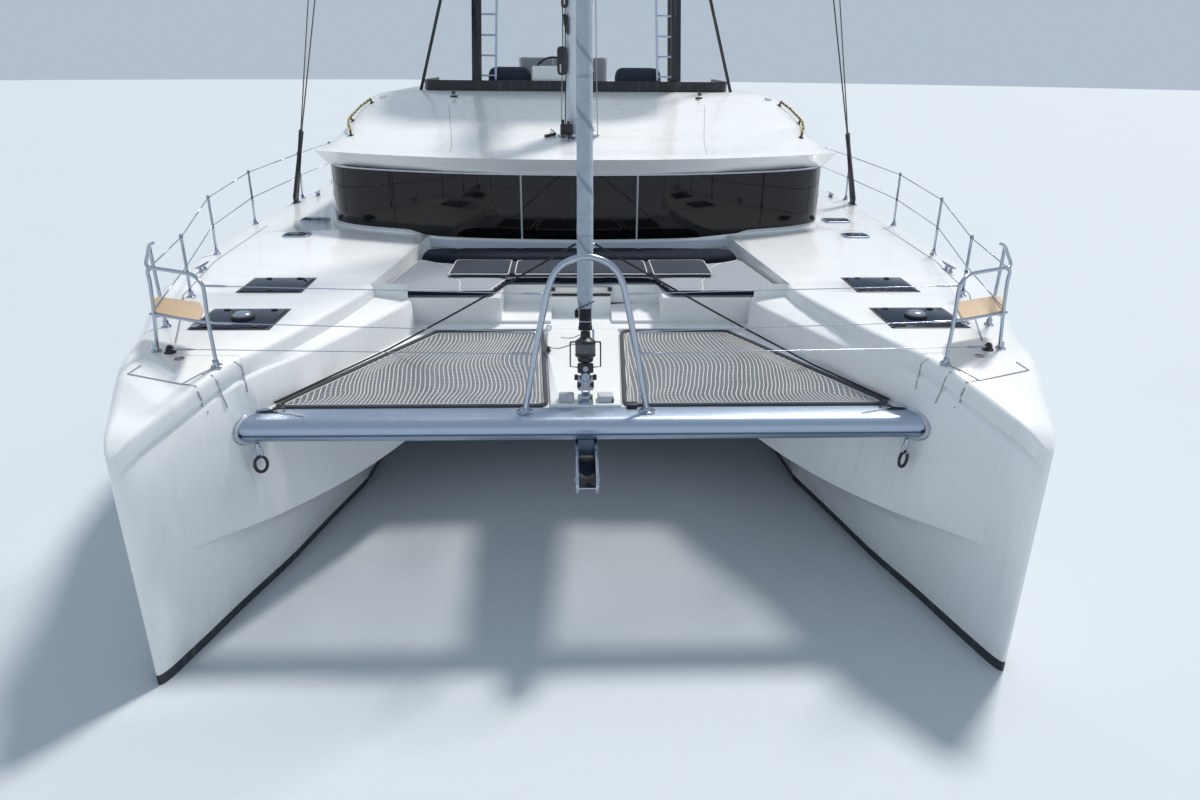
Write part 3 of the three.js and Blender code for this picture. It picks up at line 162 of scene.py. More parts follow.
class Form:
    """Gathers the corners and faces of one piece."""

    def __init__(self):
        self.corners, self.faces, self.marks = [], [], []

    def loft(self, rings, mark=0, matrix=None, closed=False):
        """A skin over rings with the same number of corners."""
        sides, count = len(rings[0]), len(rings)
        start = len(self.corners)
        for ring in rings:
            self.corners += [tuple(matrix @ Vector(c) if matrix else c) for c in ring]
        faces = []
        for r in range(count if closed else count - 1):
            below, above = r * sides, ((r + 1) % count) * sides
            for s in range(sides):
                n = (s + 1) % sides
                faces.append((below + s, below + n, above + n, above + s))
        if not closed:
            faces.append(tuple(range(sides))[::-1])
            faces.append(tuple(range((count - 1) * sides, count * sides)))
        self.faces += [tuple(start + i for i in face) for face in faces]
        self.marks += [mark] * len(faces)
        return self

    def prism(self, outline, xs, mark=0):
        """An outline of (y, z) carried across from one x to the next."""
        return self.loft([[(x, y, z) for y, z in outline] for x in xs], mark)

    def tube(self, points, radius, sides=10, mark=0, closed=False):
        """A pipe along points. radius is one number, or one for each point."""
        points = [Vector(p) for p in points]
        count = len(points)
        radii = radius if hasattr(radius, "__len__") else [radius] * count
        rings, side = [], None
        for i, here in enumerate(points):
            before = points[i - 1] if closed or i else here
            after = points[(i + 1) % count] if closed or i < count - 1 else here
            along = (after - before).normalized()
            if side is None:
                side = along.cross(UP if abs(along.z) < 0.9 else Vector((1, 0, 0)))
            side = (side - along * side.dot(along)).normalized()
            other = along.cross(side)
            rings.append([here + (side * u + other * v) * radii[i]
                          for u, v in circle(1, sides)])
        return self.loft(rings, mark, closed=closed)

    def lathe(self, profile, sides=24, mark=0, matrix=None):
        """A turned form about +Z. The profile of (radius, z) may start and end on the axis."""
        return self.loft([[(x, y, z) for x, y in circle(r, sides)] for r, z in profile], mark,
                         matrix)

    def pin(self, radius, low, high, sides=24, mark=0, matrix=None):
        """A round bar about +Z between two heights."""
        return self.lathe([(0, low), (radius, low), (radius, high), (0, high)], sides, mark,
                          matrix)

    def slab(self, outline, low, top, edge=0.0, mark=0, matrix=None, steps=3, both=False):
        """A plate over an outline of (x, y), its upper edges rounded, or all of them."""
        turns = [pi / 2 * k / steps for k in range(steps + 1)]
        rings = []
        if both and edge:
            rings = [(edge * (1 - sin(a)), low + edge * (1 - cos(a)))
                     for a in turns[:-1]]
        rings += [(0, low + edge if both else low), (0, top - edge)]
        if edge:
            rings += [(edge * (1 - cos(a)), top - edge * (1 - sin(a)))
                      for a in turns[1:]]
        return self.loft([[(x, y, z) for x, y in inset(outline, away)] for away, z in rings],
                         mark, matrix)

    def box(self, low, top, edge=0.004, corner=None, mark=0, matrix=None):
        """A block with rounded edges between two corners."""
        outline = oblong(low, top, edge * 1.5 if corner is None else corner, 3)
        return self.slab(outline, low[2], top[2], edge, mark, matrix, 2, True)


def mesh_of(form, name):
    mesh = bpy.data.meshes.new(name)
    mesh.from_pydata(form.corners, [], form.faces)
    mesh.polygons.foreach_set("material_index", form.marks)
    work = bmesh.new()
    work.from_mesh(mesh)
    bmesh.ops.remove_doubles(work, verts=work.verts, dist=1e-5)
    bmesh.ops.dissolve_degenerate(work, edges=work.edges, dist=1e-6)
    bmesh.ops.recalc_face_normals(work, faces=work.faces)
    work.to_mesh(mesh)
    work.free()
    return mesh


def show(name, mesh, finishes, body="root", slot=None, replaces=None, crease=40, bevel=0.0,
         bevel_steps=2, subdivide=0):
    """Links a piece, shades it, and ties it to its body and replaced nodes. The slot is not used.
    """
    piece = bpy.data.objects.new(name, mesh)
    bpy.context.scene.collection.objects.link(piece)
    finishes = [finishes] if isinstance(finishes, str) else finishes
    marks = np.zeros(len(mesh.polygons), np.int32)
    mesh.polygons.foreach_get("material_index", marks)
    mesh.materials.clear()
    for finish in finishes:
        mesh.materials.append(FINISHES[finish])
    mesh.polygons.foreach_set("material_index", np.minimum(marks, len(finishes) - 1))
    mesh.polygons.foreach_set("use_smooth", [True] * len(mesh.polygons))
    if crease < 180:
        mesh.set_sharp_from_angle(angle=radians(crease))
    if bevel:
        soften = piece.modifiers.new("Edges", "BEVEL")
        soften.width, soften.segments = bevel, bevel_steps
        soften.limit_method, soften.angle_limit = "ANGLE", radians(crease)
        soften.harden_normals = True
        soften.use_clamp_overlap = True
    if subdivide:
        finer = piece.modifiers.new("Finer", "SUBSURF")
        finer.levels = finer.render_levels = subdivide
    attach(piece, body)
    if replaces:
        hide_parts(replaces)
    return piece


def add_piece(name, form, finishes, **how):
    return show(name, mesh_of(form, name), finishes, **how)


def dress(name, node, finishes, **how):
    """Shows a CAD node's own mesh as the piece that replaces it."""
    return show(name, node_mesh(node), finishes, replaces=node, **how)


def node_mesh(node):
    """A merged copy of a CAD node's mesh."""
    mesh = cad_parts[node].data.copy()
    mesh.name = node
    for layer in list(mesh.uv_layers):
        mesh.uv_layers.remove(layer)
    work = bmesh.new()
    work.from_mesh(mesh)
    bmesh.ops.remove_doubles(work, verts=work.verts, dist=1e-5)
    bmesh.ops.dissolve_degenerate(work, edges=work.edges, dist=1e-5)
    bmesh.ops.join_triangles(work, faces=work.faces, angle_face_threshold=radians(8),
                             angle_shape_threshold=radians(50))
    work.to_mesh(mesh)
    work.free()
    mesh.materials.clear()
    return mesh


def search_tree(*meshes):
    """A search tree over the surfaces of meshes."""
    corners, faces = [], []
    for mesh in meshes:
        start = len(corners)
        corners += [v.co.copy() for v in mesh.vertices]
        faces += [tuple(start + i for i in p.vertices) for p in mesh.polygons]
    return BVHTree.FromPolygons(corners, faces)


def surface_tree(*nodes):
    return search_tree(*(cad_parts[node].data for node in nodes))


def drop(tree, x, y, height=2.6):
    """The point and the normal of the surface below (x, y)."""
    point, normal, _, _ = tree.ray_cast(Vector((x, y, height)), Vector((0, 0, -1)))
    if point is None:
        raise RuntimeError(f"nothing lies below {x:.3f}, {y:.3f}")
    return point, normal


# Node trees, for shapes and for finishes

class Tree:
    """Adds the nodes of one tree, each with its inputs, and links them."""

    def __init__(self, tree):
        self.tree = tree

    def add(self, kind, values=None, **settings):
        node = self.tree.nodes.new(kind)
        for key, value in settings.items():
            setattr(node, key, value)
        for key, value in (values or {}).items():
            self.feed(node.inputs[key], value)
        return node

    def feed(self, socket, value):
        if isinstance(value, bpy.types.Node):
            value = next(s for s in value.outputs if s.enabled)
        if isinstance(value, bpy.types.NodeSocket):
            self.tree.links.new(value, socket)
        else:
            socket.default_value = value

    def math(self, operation, a, b=0.0, c=0.0, clamp=False):
        return self.add("ShaderNodeMath", {0: a, 1: b, 2: c}, operation=operation,
                        use_clamp=clamp)

    def times(self, a, b):
        return self.math("MULTIPLY", a, b)

    def mix(self, factor, a, b):
        """A colour between two."""
        return self.add("ShaderNodeMix", {0: factor, 6: a, 7: b}, data_type="RGBA").outputs[2]

    def blend(self, factor, a, b):
        """A number between two."""
        return self.add("ShaderNodeMix", {0: factor, 2: a, 3: b}).outputs[0]

    def vector(self, operation, a, b=(0, 0, 0)):
        return self.add("ShaderNodeVectorMath", {0: a, 1: b}, operation=operation)

    def place(self):
        """Where a point lies on its own object."""
        return self.add("ShaderNodeTexCoord").outputs["Object"]

    def span(self, value, low, high, to_low=0.0, to_high=1.0):
        """A number taken smoothly from one range to another."""
        return self.add("ShaderNodeMapRange", {"Value": value, "From Min": low,
                        "From Max": high, "To Min": to_low, "To Max": to_high},
                        interpolation_type="SMOOTHSTEP")

    def scaled(self, vector, x, y, z):
        return self.vector("MULTIPLY", vector, (x, y, z))

    def noise(self, vector, scale, detail=3.0, rough=0.5, warp=0.0):
        return self.add("ShaderNodeTexNoise", {"Vector": vector, "Scale": scale,
                        "Detail": detail, "Roughness": rough, "Distortion": warp})

    def ends(self, inputs, outputs):
        """The sockets of a group: names with their values or kinds in, and with kinds out."""
        face = self.tree.interface
        for name, value in inputs.items():
            plain = isinstance(value, str)
            kind = value if plain else {float: "Float", int: "Int"}.get(type(value)) or (
                "Color" if len(value) == 4 else "Vector")
            socket = face.new_socket(name, in_out="INPUT", socket_type="NodeSocket" + kind)
            if not plain:
                socket.default_value = value
        for name, kind in outputs.items():
            face.new_socket(name, in_out="OUTPUT", socket_type="NodeSocket" + kind)
        return self.add("NodeGroupInput").outputs, self.add("NodeGroupOutput").inputs


def grown(tree, path_mesh, values, material, name):
    """Runs a shape tree on a mesh and returns the plain mesh that it makes."""
    carrier = bpy.data.objects.new(name, path_mesh)
    bpy.context.scene.collection.objects.link(carrier)
    modifier = carrier.modifiers.new(name, "NODES")
    modifier.node_group = tree
    keys = {s.name: s.identifier for s in tree.interface.items_tree
            if getattr(s, "in_out", "") == "INPUT"}
    for key, value in {**values, "Material": material}.items():
        modifier[keys[key]] = value
    carrier.update_tag()
    graph = bpy.context.evaluated_depsgraph_get()
    mesh = bpy.data.meshes.new_from_object(carrier.evaluated_get(graph),
                                           preserve_all_data_layers=True, depsgraph=graph)
    carrier.modifiers.clear()
    bpy.data.objects.remove(carrier)
    mesh.name = name
    if not mesh.polygons:
        raise RuntimeError(f"{name} came out empty")
    return mesh


def lines_mesh(paths, name, hold=None):
    """A mesh of edges along paths. hold gives each corner's freedom to be waved."""
    mesh = bpy.data.meshes.new(name)
    corners, edges = [], []
    for path in paths:
        start = len(corners)
        corners += [tuple(p) for p in path]
        edges += [(start + i, start + i + 1) for i in range(len(path) - 1)]
    mesh.from_pydata(corners, edges, [])
    layer = mesh.attributes.new("free", "FLOAT", "POINT")
    layer.data.foreach_set("value", hold if hold is not None else [0.0] * len(corners))
    return mesh


def make_strands_tree():
    """Round cords along edges, waved sideways where they are free."""
    tree = Tree(bpy.data.node_groups.new("Strands", "GeometryNodeTree"))
    given, result = tree.ends({
        "Path": "Geometry", "Thickness": 0.008, "Wave": 0.0, "Wave Length": 1.0, "Sides": 6,
        "Flatness": 1.0, "Material": "Material"}, {"Result": "Geometry"})
    place = tree.add("GeometryNodeInputPosition")
    share = tree.math("DIVIDE", 1.0, given["Wave Length"])
    drift = tree.add("ShaderNodeTexNoise", {"Vector": place, "Scale": share, "Detail": 0.0},
                     noise_dimensions="3D")
    centred = tree.vector("SUBTRACT", drift.outputs["Color"], (0.5, 0.5, 0.5))
    sideways = tree.scaled(centred, 1, 0.35, 0)
    free = tree.add("GeometryNodeInputNamedAttribute", {"Name": "free"}, data_type="FLOAT")
    size = tree.math("MULTIPLY", given["Wave"], free.outputs["Attribute"])
    shift = tree.add("ShaderNodeVectorMath", {0: sideways, "Scale": size}, operation="SCALE")
    waved = tree.add("GeometryNodeSetPosition", {"Geometry": given["Path"], "Offset": shift})
    line = tree.add("GeometryNodeMeshToCurve", {"Mesh": waved})
    ring = tree.add("GeometryNodeCurvePrimitiveCircle", {
        "Resolution": given["Sides"], "Radius": tree.math("MULTIPLY", given["Thickness"], 0.5)})
    flat = tree.add("GeometryNodeTransform", {"Geometry": ring, "Scale": tree.add(
        "ShaderNodeCombineXYZ", {"X": 1.0, "Y": given["Flatness"], "Z": 1.0})})
    skin = tree.add("GeometryNodeCurveToMesh", {"Curve": line, "Profile Curve": flat,
                    "Fill Caps": True})
    real = tree.add("GeometryNodeRealizeInstances", {"Geometry": skin})
    tree.feed(result["Result"], tree.add("GeometryNodeSetMaterial", {
        "Geometry": real, "Material": given["Material"]}))
    return tree.tree


def strands(name, paths, thickness, finish, sides=6, flatness=1.0, wave=0.0, wave_length=1.0,
            hold=None):
    return grown(TREES["strands"], lines_mesh(paths, name, hold), {
        "Thickness": thickness, "Wave": wave, "Wave Length": wave_length, "Sides": sides,
        "Flatness": flatness}, FINISHES[finish], name)


def cords(name, paths, thickness, finish, sides=8, flatness=1.0, **how):
    """One piece of round cords laid along paths."""
    mesh = strands(name, paths, thickness, finish, sides, flatness)
    return show(name, mesh, finish, crease=180, **how)


# Finishes

def shader_group(name, inputs, outputs):
    """A group of shader nodes that puts out a colour and these numbers."""
    tree = Tree(bpy.data.node_groups.new(name, "ShaderNodeTree"))
    given, result = tree.ends(inputs, {"Color": "Color", **dict.fromkeys(outputs, "Float")})
    return tree, given, result


def make_weather_group():
    """Tone, dust on what faces up, run-off streaks on what is upright, and a fine height."""
    tree, given, result = shader_group("Weather", {
        "Color": (0.8, 0.8, 0.8, 1), "Dust Color": (0.4, 0.37, 0.33, 1), "Roughness": 0.4,
        "Dust": 0.2, "Streaks": 0.2, "Grain": 60.0}, ["Roughness", "Height"])
    place = tree.place()
    facing = tree.add("ShaderNodeSeparateXYZ",
                      {0: tree.add("ShaderNodeNewGeometry").outputs["Normal"]}).outputs[2]
    broad = tree.noise(place, 1.3, 4, 0.6)
    fine = tree.noise(place, given["Grain"], 2).outputs[0]
    runs = tree.noise(tree.scaled(place, 9, 9, 0.7), 1.6, 4, 0.65)
    patches = tree.span(tree.noise(place, 4.5, 5, 0.65), 0.48, 0.72)
    dust = tree.times(tree.times(tree.span(facing, 0.5, 0.95), patches), given["Dust"])
    upright = tree.math("SUBTRACT", 1.0, tree.span(tree.math("ABSOLUTE", facing), 0.3, 0.7))
    streaks = tree.times(tree.times(upright, tree.span(runs, 0.5, 0.75)), given["Streaks"])
    soil = tree.math("MAXIMUM", dust, streaks, clamp=True)
    tone = tree.math("MULTIPLY_ADD", tree.math("SUBTRACT", broad.outputs[0], 0.5), 0.08, 1.0)
    tinted = tree.add("ShaderNodeVectorMath", {0: given["Color"], "Scale": tone},
                      operation="SCALE")
    tree.feed(result["Color"], tree.mix(soil, tinted.outputs[0], given["Dust Color"]))
    rough = tree.math("MULTIPLY_ADD", tree.math("SUBTRACT", fine, 0.5), 0.12,
                      given["Roughness"])
    tree.feed(result["Roughness"], tree.math("MULTIPLY_ADD", soil, 0.35, rough, clamp=True))
    tree.feed(result["Height"], fine)
    return tree.tree


def make_weave_group():
    """Crossing threads on whichever plane a face lies nearest to."""
    tree, given, result = shader_group("Weave", {
        "Color": (0.5, 0.5, 0.5, 1), "Shade": (0.3, 0.3, 0.3, 1), "Threads": 320.0,
        "Vary": 0.4}, ["Height"])
    place = tree.place()
    x, y, z = tree.add("ShaderNodeSeparateXYZ", {0: place}).outputs
    normal = tree.add("ShaderNodeNewGeometry").outputs["Normal"]
    facing = tree.add("ShaderNodeSeparateXYZ", {0: tree.vector("ABSOLUTE", normal)}).outputs
    along = tree.blend(tree.math("GREATER_THAN", facing[0], 0.6), x, y)
    across = tree.blend(tree.math("GREATER_THAN", facing[2], 0.6), z, y)
    waves = [tree.math("SINE", tree.times(tree.times(line, given["Threads"]), tau))
             for line in (along, across)]
    mask = tree.math("MULTIPLY_ADD", tree.times(*waves), 0.5, 0.5)
    blotch = tree.times(tree.span(tree.noise(place, 14, 5, 0.7), 0.35, 0.7), given["Vary"])
    shade = tree.math("MAXIMUM", tree.times(mask, 0.35), blotch)
    tree.feed(result["Color"], tree.mix(shade, given["Color"], given["Shade"]))
    fluff = tree.times(tree.noise(place, 90, 3), 0.6)
    tree.feed(result["Height"], tree.math("ADD", mask, fluff))
    return tree.tree


def make_planks_group():
    """Straight planks with dark seams between them, their grain along the planks."""
    tree, given, result = shader_group("Planks", {
        "Light": (0.6, 0.45, 0.3, 1), "Dark": (0.4, 0.27, 0.16, 1),
        "Seam Color": (0.02, 0.02, 0.02, 1), "Width": 0.05, "Seam": 0.004,
        "Along": (1.0, 0.0, 0.0)}, ["Height"])
    place = tree.place()
    run = tree.vector("DOT_PRODUCT", place, given["Along"]).outputs["Value"]
    aside = tree.vector("CROSS_PRODUCT", given["Along"], (0, 0, 1))
    over = tree.vector("DOT_PRODUCT", place, aside).outputs["Value"]
    count = tree.math("DIVIDE", over, given["Width"])
    board = tree.math("FLOOR", count)
    inside = tree.math("SUBTRACT", count, board)
    edge = tree.math("MINIMUM", inside, tree.math("SUBTRACT", 1.0, inside))
    half = tree.math("DIVIDE", tree.times(given["Seam"], 0.5), given["Width"])
    seam = tree.math("LESS_THAN", edge, half)
    chance = tree.add("ShaderNodeTexWhiteNoise", {"W": board},
                      noise_dimensions="1D").outputs["Value"]
    lines = tree.add("ShaderNodeCombineXYZ", {
        0: tree.times(run, 3.0), 1: tree.times(over, 70.0), 2: tree.times(chance, 40.0)})
    grain = tree.noise(lines, 1.4, 5, 0.6, 0.6)
    tone = tree.math("MULTIPLY_ADD", chance, 0.45, tree.times(grain, 0.55), clamp=True)
    wood = tree.mix(tone, given["Light"], given["Dark"])
    tree.feed(result["Color"], tree.mix(seam, wood, given["Seam Color"]))
    tree.feed(result["Height"], tree.math("SUBTRACT", tree.times(grain, 0.5), seam))
    return tree.tree


def make_brushed_group():
    """Fine lines along one direction, with the dull spots that salt leaves on metal."""
    tree, given, result = shader_group("Brushed", {
        "Color": (0.7, 0.7, 0.7, 1), "Roughness": 0.25, "Lines": (4.0, 260.0, 260.0),
        "Salt": 0.2}, ["Roughness", "Height"])
    place = tree.place()
    lines = tree.noise(tree.vector("MULTIPLY", place, given["Lines"]), 1.0, 3)
    salt = tree.times(tree.span(tree.noise(place, 37, 5, 0.75), 0.55, 0.72), given["Salt"])
    tree.feed(result["Color"], tree.mix(salt, given["Color"], (0.62, 0.63, 0.62, 1)))
    rough = tree.math("MULTIPLY_ADD", tree.math("SUBTRACT", lines, 0.5), 0.18,
                      given["Roughness"])
    tree.feed(result["Roughness"], tree.math("MULTIPLY_ADD", salt, 0.5, rough, clamp=True))
    tree.feed(result["Height"], lines)
    return tree.tree


class Finish(Tree):
    """One material: a Principled shader and the nodes that feed it."""

    def __init__(self, name, **sockets):
        self.material = bpy.data.materials.new(name)
        self.material.use_nodes = True
        super().__init__(self.material.node_tree)
        self.shader = self.tree.nodes["Principled BSDF"]
        self.set(**sockets)
        FINISHES[name] = self.material

    def set(self, **sockets):
        for key, value in sockets.items():
            self.feed(self.shader.inputs[key.replace("_", " ").title().replace("Ior", "IOR")],
                      value)

    def group(self, name, values):
        """The outputs of a shader group with these inputs."""
        node = self.add("ShaderNodeGroup", node_tree=GROUPS[name])
        for key, value in values.items():
            self.feed(node.inputs[key], value)
        return node.outputs

    def bump(self, height, distance):
        self.feed(self.shader.inputs["Normal"], self.add("ShaderNodeBump", {
            "Height": height, "Distance": distance, "Strength": 1.0}))


def weathered(name, color, roughness, dust=0.15, streaks=0.1, grain=60.0, height=0.0004,
              dust_color=(0.42, 0.40, 0.36), **sockets):
    """A plain finish with its weather."""
    finish = Finish(name, **sockets)
    worn = finish.group("weather", {
        "Color": (*color, 1), "Dust Color": (*dust_color, 1), "Roughness": roughness,
        "Dust": dust, "Streaks": streaks, "Grain": grain})
    finish.set(base_color=worn["Color"], roughness=worn["Roughness"])
    finish.bump(worn["Height"], height)


def metal(name, color, roughness, lines=(4, 260, 260), salt=0.15, height=0.0001):
    finish = Finish(name, metallic=1.0)
    drawn = finish.group("brushed", {"Color": (*color, 1), "Roughness": roughness,
                                     "Lines": lines, "Salt": salt})
    finish.set(base_color=drawn["Color"], roughness=drawn["Roughness"])
    finish.bump(drawn["Height"], height)


def fabric(name, color, shade, threads=300.0, vary=0.35, height=0.0006, sheen=0.25):
    """Cloth or rope. Its shade is a colour, or a share of its own colour."""
    finish = Finish(name, roughness=0.92, sheen_weight=sheen, sheen_roughness=0.5,
                    specular_ior_level=0.2)
    shade = [c * shade for c in color] if isinstance(shade, float) else shade
    cloth = finish.group("weave", {"Color": (*color, 1), "Shade": (*shade, 1),
                                   "Threads": threads, "Vary": vary})
    finish.set(base_color=cloth["Color"])
    finish.bump(cloth["Height"], height)


def hull_finish(colors):
    """White gelcoat above the waterline, antifouling paint below it, with a soft scum line."""
    finish = Finish("hull", coat_weight=0.4, coat_roughness=0.06)
    place = finish.place()
    height = finish.add("ShaderNodeSeparateXYZ", {0: place}).outputs[2]
    white = finish.group("weather", {"Color": (*colors.gelcoat, 1), "Roughness": 0.22,
                                     "Dust": 0.10, "Streaks": 0.10, "Grain": 45.0})
    paint = finish.group("weather", {
        "Color": (*colors.antifouling, 1), "Dust Color": (0.10, 0.13, 0.11, 1),
        "Roughness": 0.75, "Dust": 0.4, "Streaks": 0.7, "Grain": 220.0})
    waver = finish.times(finish.math("SUBTRACT", finish.noise(place, 6, 3), 0.5), 0.006)
    edge = finish.math("ADD", height, waver)
    line = colors.paint_line
    above = finish.span(edge, line - 0.002, line + 0.002)
    scum = finish.span(edge, line + 0.16, line, 0.0, 0.35)
    blotch = finish.span(finish.noise(finish.scaled(place, 3, 3, 1), 4, 5, 0.7), 0.35, 0.75)
    top = finish.mix(finish.times(scum, blotch), white["Color"], (0.55, 0.50, 0.38, 1))
    finish.set(base_color=finish.mix(above, paint["Color"], top),
               roughness=finish.blend(above, paint["Roughness"], white["Roughness"]))
    finish.bump(finish.blend(above, paint["Height"], finish.times(white["Height"], 0.25)),
                0.0009)


def glass_finish(name, color, roughness=0.03, transmission=0.9):
    """Dark glass with faint dust. Its transmission is plain."""
    finish = Finish(name, transmission_weight=transmission, ior=1.45,
                    specular_ior_level=0.05)
    place = finish.place()
    film = finish.span(finish.noise(place, 5, 6, 0.7), 0.45, 0.8, roughness, roughness + 0.06)
    tone = finish.mix(finish.span(finish.noise(place, 2, 2), 0.3, 0.7), (*color, 1),
                      tuple(c * 0.85 for c in color) + (1,))
    finish.set(base_color=tone, roughness=film)


def sail_finish(name, color):
    """Rolled cloth: turns of its edge wound up the roll, read from the piece's own UV map."""
    seam = (*[c * 0.45 for c in color], 1)
    finish = Finish(name, roughness=0.85, sheen_weight=0.15)
    around, along, _ = finish.add("ShaderNodeSeparateXYZ", {
        0: finish.add("ShaderNodeUVMap", uv_map="UVMap")}).outputs
    climb = finish.math("ADD", finish.times(along, ROLL_TURNS), around)

    def lines(value, near, far):
        """Narrow lines where a number passes a whole one."""
        off = finish.math("SUBTRACT", finish.math("FRACT", value), 0.5)
        return finish.span(finish.math("ABSOLUTE", off), near, far)
    edge = lines(climb, 0.42, 0.49)
    stitch = lines(finish.times(along, 0.9), 0.485, 0.497)
    creases = finish.noise(finish.scaled(finish.place(), 9, 9, 2.2), 2.4, 5, 0.65, 0.8)
    cloth = finish.group("weave", {"Color": (*color, 1), "Shade": seam, "Vary": 0.45,
                                   "Threads": 400.0})
    marks = finish.math("MAXIMUM", edge, finish.times(stitch, 0.7))
    finish.set(base_color=finish.mix(finish.times(marks, 0.65), cloth["Color"], seam))
    finish.bump(finish.math("SUBTRACT", finish.times(creases, 2.0), edge), 0.006)


def teak_finish(name, along):
    finish = Finish(name, roughness=0.7)
    wood = finish.group("planks", {
        "Light": (0.62, 0.44, 0.29, 1), "Dark": (0.42, 0.27, 0.16, 1), "Width": 0.048,
        "Seam": 0.005, "Along": along})
    worn = finish.group("weather", {"Color": wood["Color"], "Roughness": 0.68, "Dust": 0.35,
                                    "Streaks": 0.0, "Grain": 90.0,
                                    "Dust Color": (0.52, 0.46, 0.38, 1)})
    finish.set(base_color=worn["Color"], roughness=worn["Roughness"])
    finish.bump(wood["Height"], 0.0015)


FOUL_DUST = (0.10, 0.13, 0.11)
WEATHERED = (
    # name, colour, roughness, dust, streaks, grain, height
    ("black trim", (0.018, 0.019, 0.022), 0.42, 0.12, 0.12, 140.0, 0.0002),
    # A blue-grey for thin lines; on the bow's steps and the deck's camber fold it is painted shade
    ("sealant", (0.30, 0.32, 0.35), 0.6, 0.2, 0.0, 160.0, 0.0001),
    ("sill paint", (0.55, 0.61, 0.70), 0.4, 0.2, 0.15),
    ("worktop", (0.82, 0.82, 0.82), 0.3, 0.1, 0.0, 80.0, 0.0001),
    ("seat wood", (0.56, 0.40, 0.25), 0.55, 0.3, 0.15, 90.0, 0.0005),
    ("drum band", (0.10, 0.105, 0.115), 0.5, 0.2, 0.1, 200.0, 0.0002),
    ("rubber", (0.03, 0.03, 0.033), 0.75, 0.25, 0.1, 160.0, 0.0004),
    ("grey plastic", (0.50, 0.52, 0.55), 0.5, 0.3, 0.1, 300.0, 0.0003),
    ("interior", (0.20, 0.17, 0.15), 0.5, 0.1, 0.0, 30.0),
    ("saildrive paint", (0.30, 0.32, 0.34), 0.6, 0.3, 0.4, 160.0),
)
ROPES = (
    # name, colour, shade, threads, variation, height, sheen
    ("net cord", (0.66, 0.64, 0.62), (0.42, 0.40, 0.39), 500.0, 0.5, 0.001, 0.0),
    # The crosswise cords' darker copy of the net cord is painted shade under the lengthwise cords
    ("net shade cord", (0.36, 0.35, 0.36), (0.22, 0.21, 0.22), 500.0, 0.5, 0.001, 0.0),
    ("dark rope", (0.035, 0.037, 0.042), (0.015, 0.015, 0.018), 420.0, 0.5, 0.0012, 0.1),
    ("border rope", (0.10, 0.105, 0.12), (0.05, 0.05, 0.06), 420.0, 0.5, 0.0012, 0.1),
    ("white rope", (0.72, 0.72, 0.70), (0.50, 0.50, 0.48), 420.0, 0.5, 0.0012),
    ("yellow rope", (0.62, 0.50, 0.10), (0.35, 0.27, 0.05), 420.0, 0.5, 0.0012),
    ("grey rope", (0.38, 0.40, 0.42), (0.22, 0.23, 0.25), 420.0, 0.5, 0.0012),
    ("piping", (0.80, 0.80, 0.78), (0.62, 0.62, 0.60), 500.0, 0.3),
)


def make_finishes(colors):
    """Every material of the boat, built once."""
    GROUPS.update(weather=make_weather_group(), weave=make_weave_group(),
                  planks=make_planks_group(), brushed=make_brushed_group())
    TREES.update(strands=make_strands_tree())
    hull_finish(colors)
    for row in WEATHERED:
        weathered(*row)
    weathered("gelcoat", colors.gelcoat, 0.25, 0.12, 0.08, coat_weight=0.35,
              coat_roughness=0.08)
    weathered("locker lid", (0.83, 0.80, 0.75), 0.35, 0.5, dust_color=(0.66, 0.58, 0.46))
    weathered("antifouling", colors.antifouling, 0.8, 0.3, 0.6, 220.0, 0.001, FOUL_DUST)
    weathered("glass border", (0.012, 0.013, 0.016), 0.12, 0.05, 0.0, 60.0, 0.00005,
              coat_weight=0.4, coat_roughness=0.05)
    weathered("wire", (0.05, 0.052, 0.058), 0.38, 0.15, 0.0, 220.0, 0.0002, metallic=0.6)
    weathered("spar paint", (0.60, 0.66, 0.73), 0.36, 0.1, 0.25, 60.0, 0.0002,
              coat_weight=0.2)
    # Steel and aluminium get a dark blue-grey colour: painted shade and painted reflection of the
    # sea
    metal("stainless", (0.44, 0.48, 0.56), 0.18)
    metal("aluminium", (0.40, 0.47, 0.58), 0.34, (3.0, 180.0, 180.0), 0.3, 0.0002)
    metal("bronze", (0.52, 0.36, 0.16), 0.3, (90, 90, 90), 0.4)
    glass_finish("house glass", (0.035, 0.032, 0.036))
    glass_finish("hatch glass", (0.012, 0.024, 0.055), 0.05, 0.4)
    for row in ROPES:
        fabric(*row)
    fabric("light cushion", colors.light_cushion, 0.82)
    fabric("dark cushion", colors.dark_cushion, 0.6, sheen=0.03)
    fabric("middle cushion", colors.middle_cushion, 0.7, sheen=0.06)
    fabric("canvas", colors.canvas, 0.65, sheen=0.06)
    sail_finish("sailcloth", colors.sailcloth)
    teak_finish("teak along", (0.0, 1.0, 0.0))
    teak_finish("teak across", (1.0, 0.0, 0.0))


# Sizes and colours that a user would change

def colour(name, description, value):
    return FloatVectorProperty(name=name, description=description, default=value,
                               subtype="COLOR", size=3, min=0, max=1)


def length(name, description, value, low=0.0, high=10.0):
    return FloatProperty(name=name, description=description, default=value, min=low,
                         max=high, unit="LENGTH", precision=4)


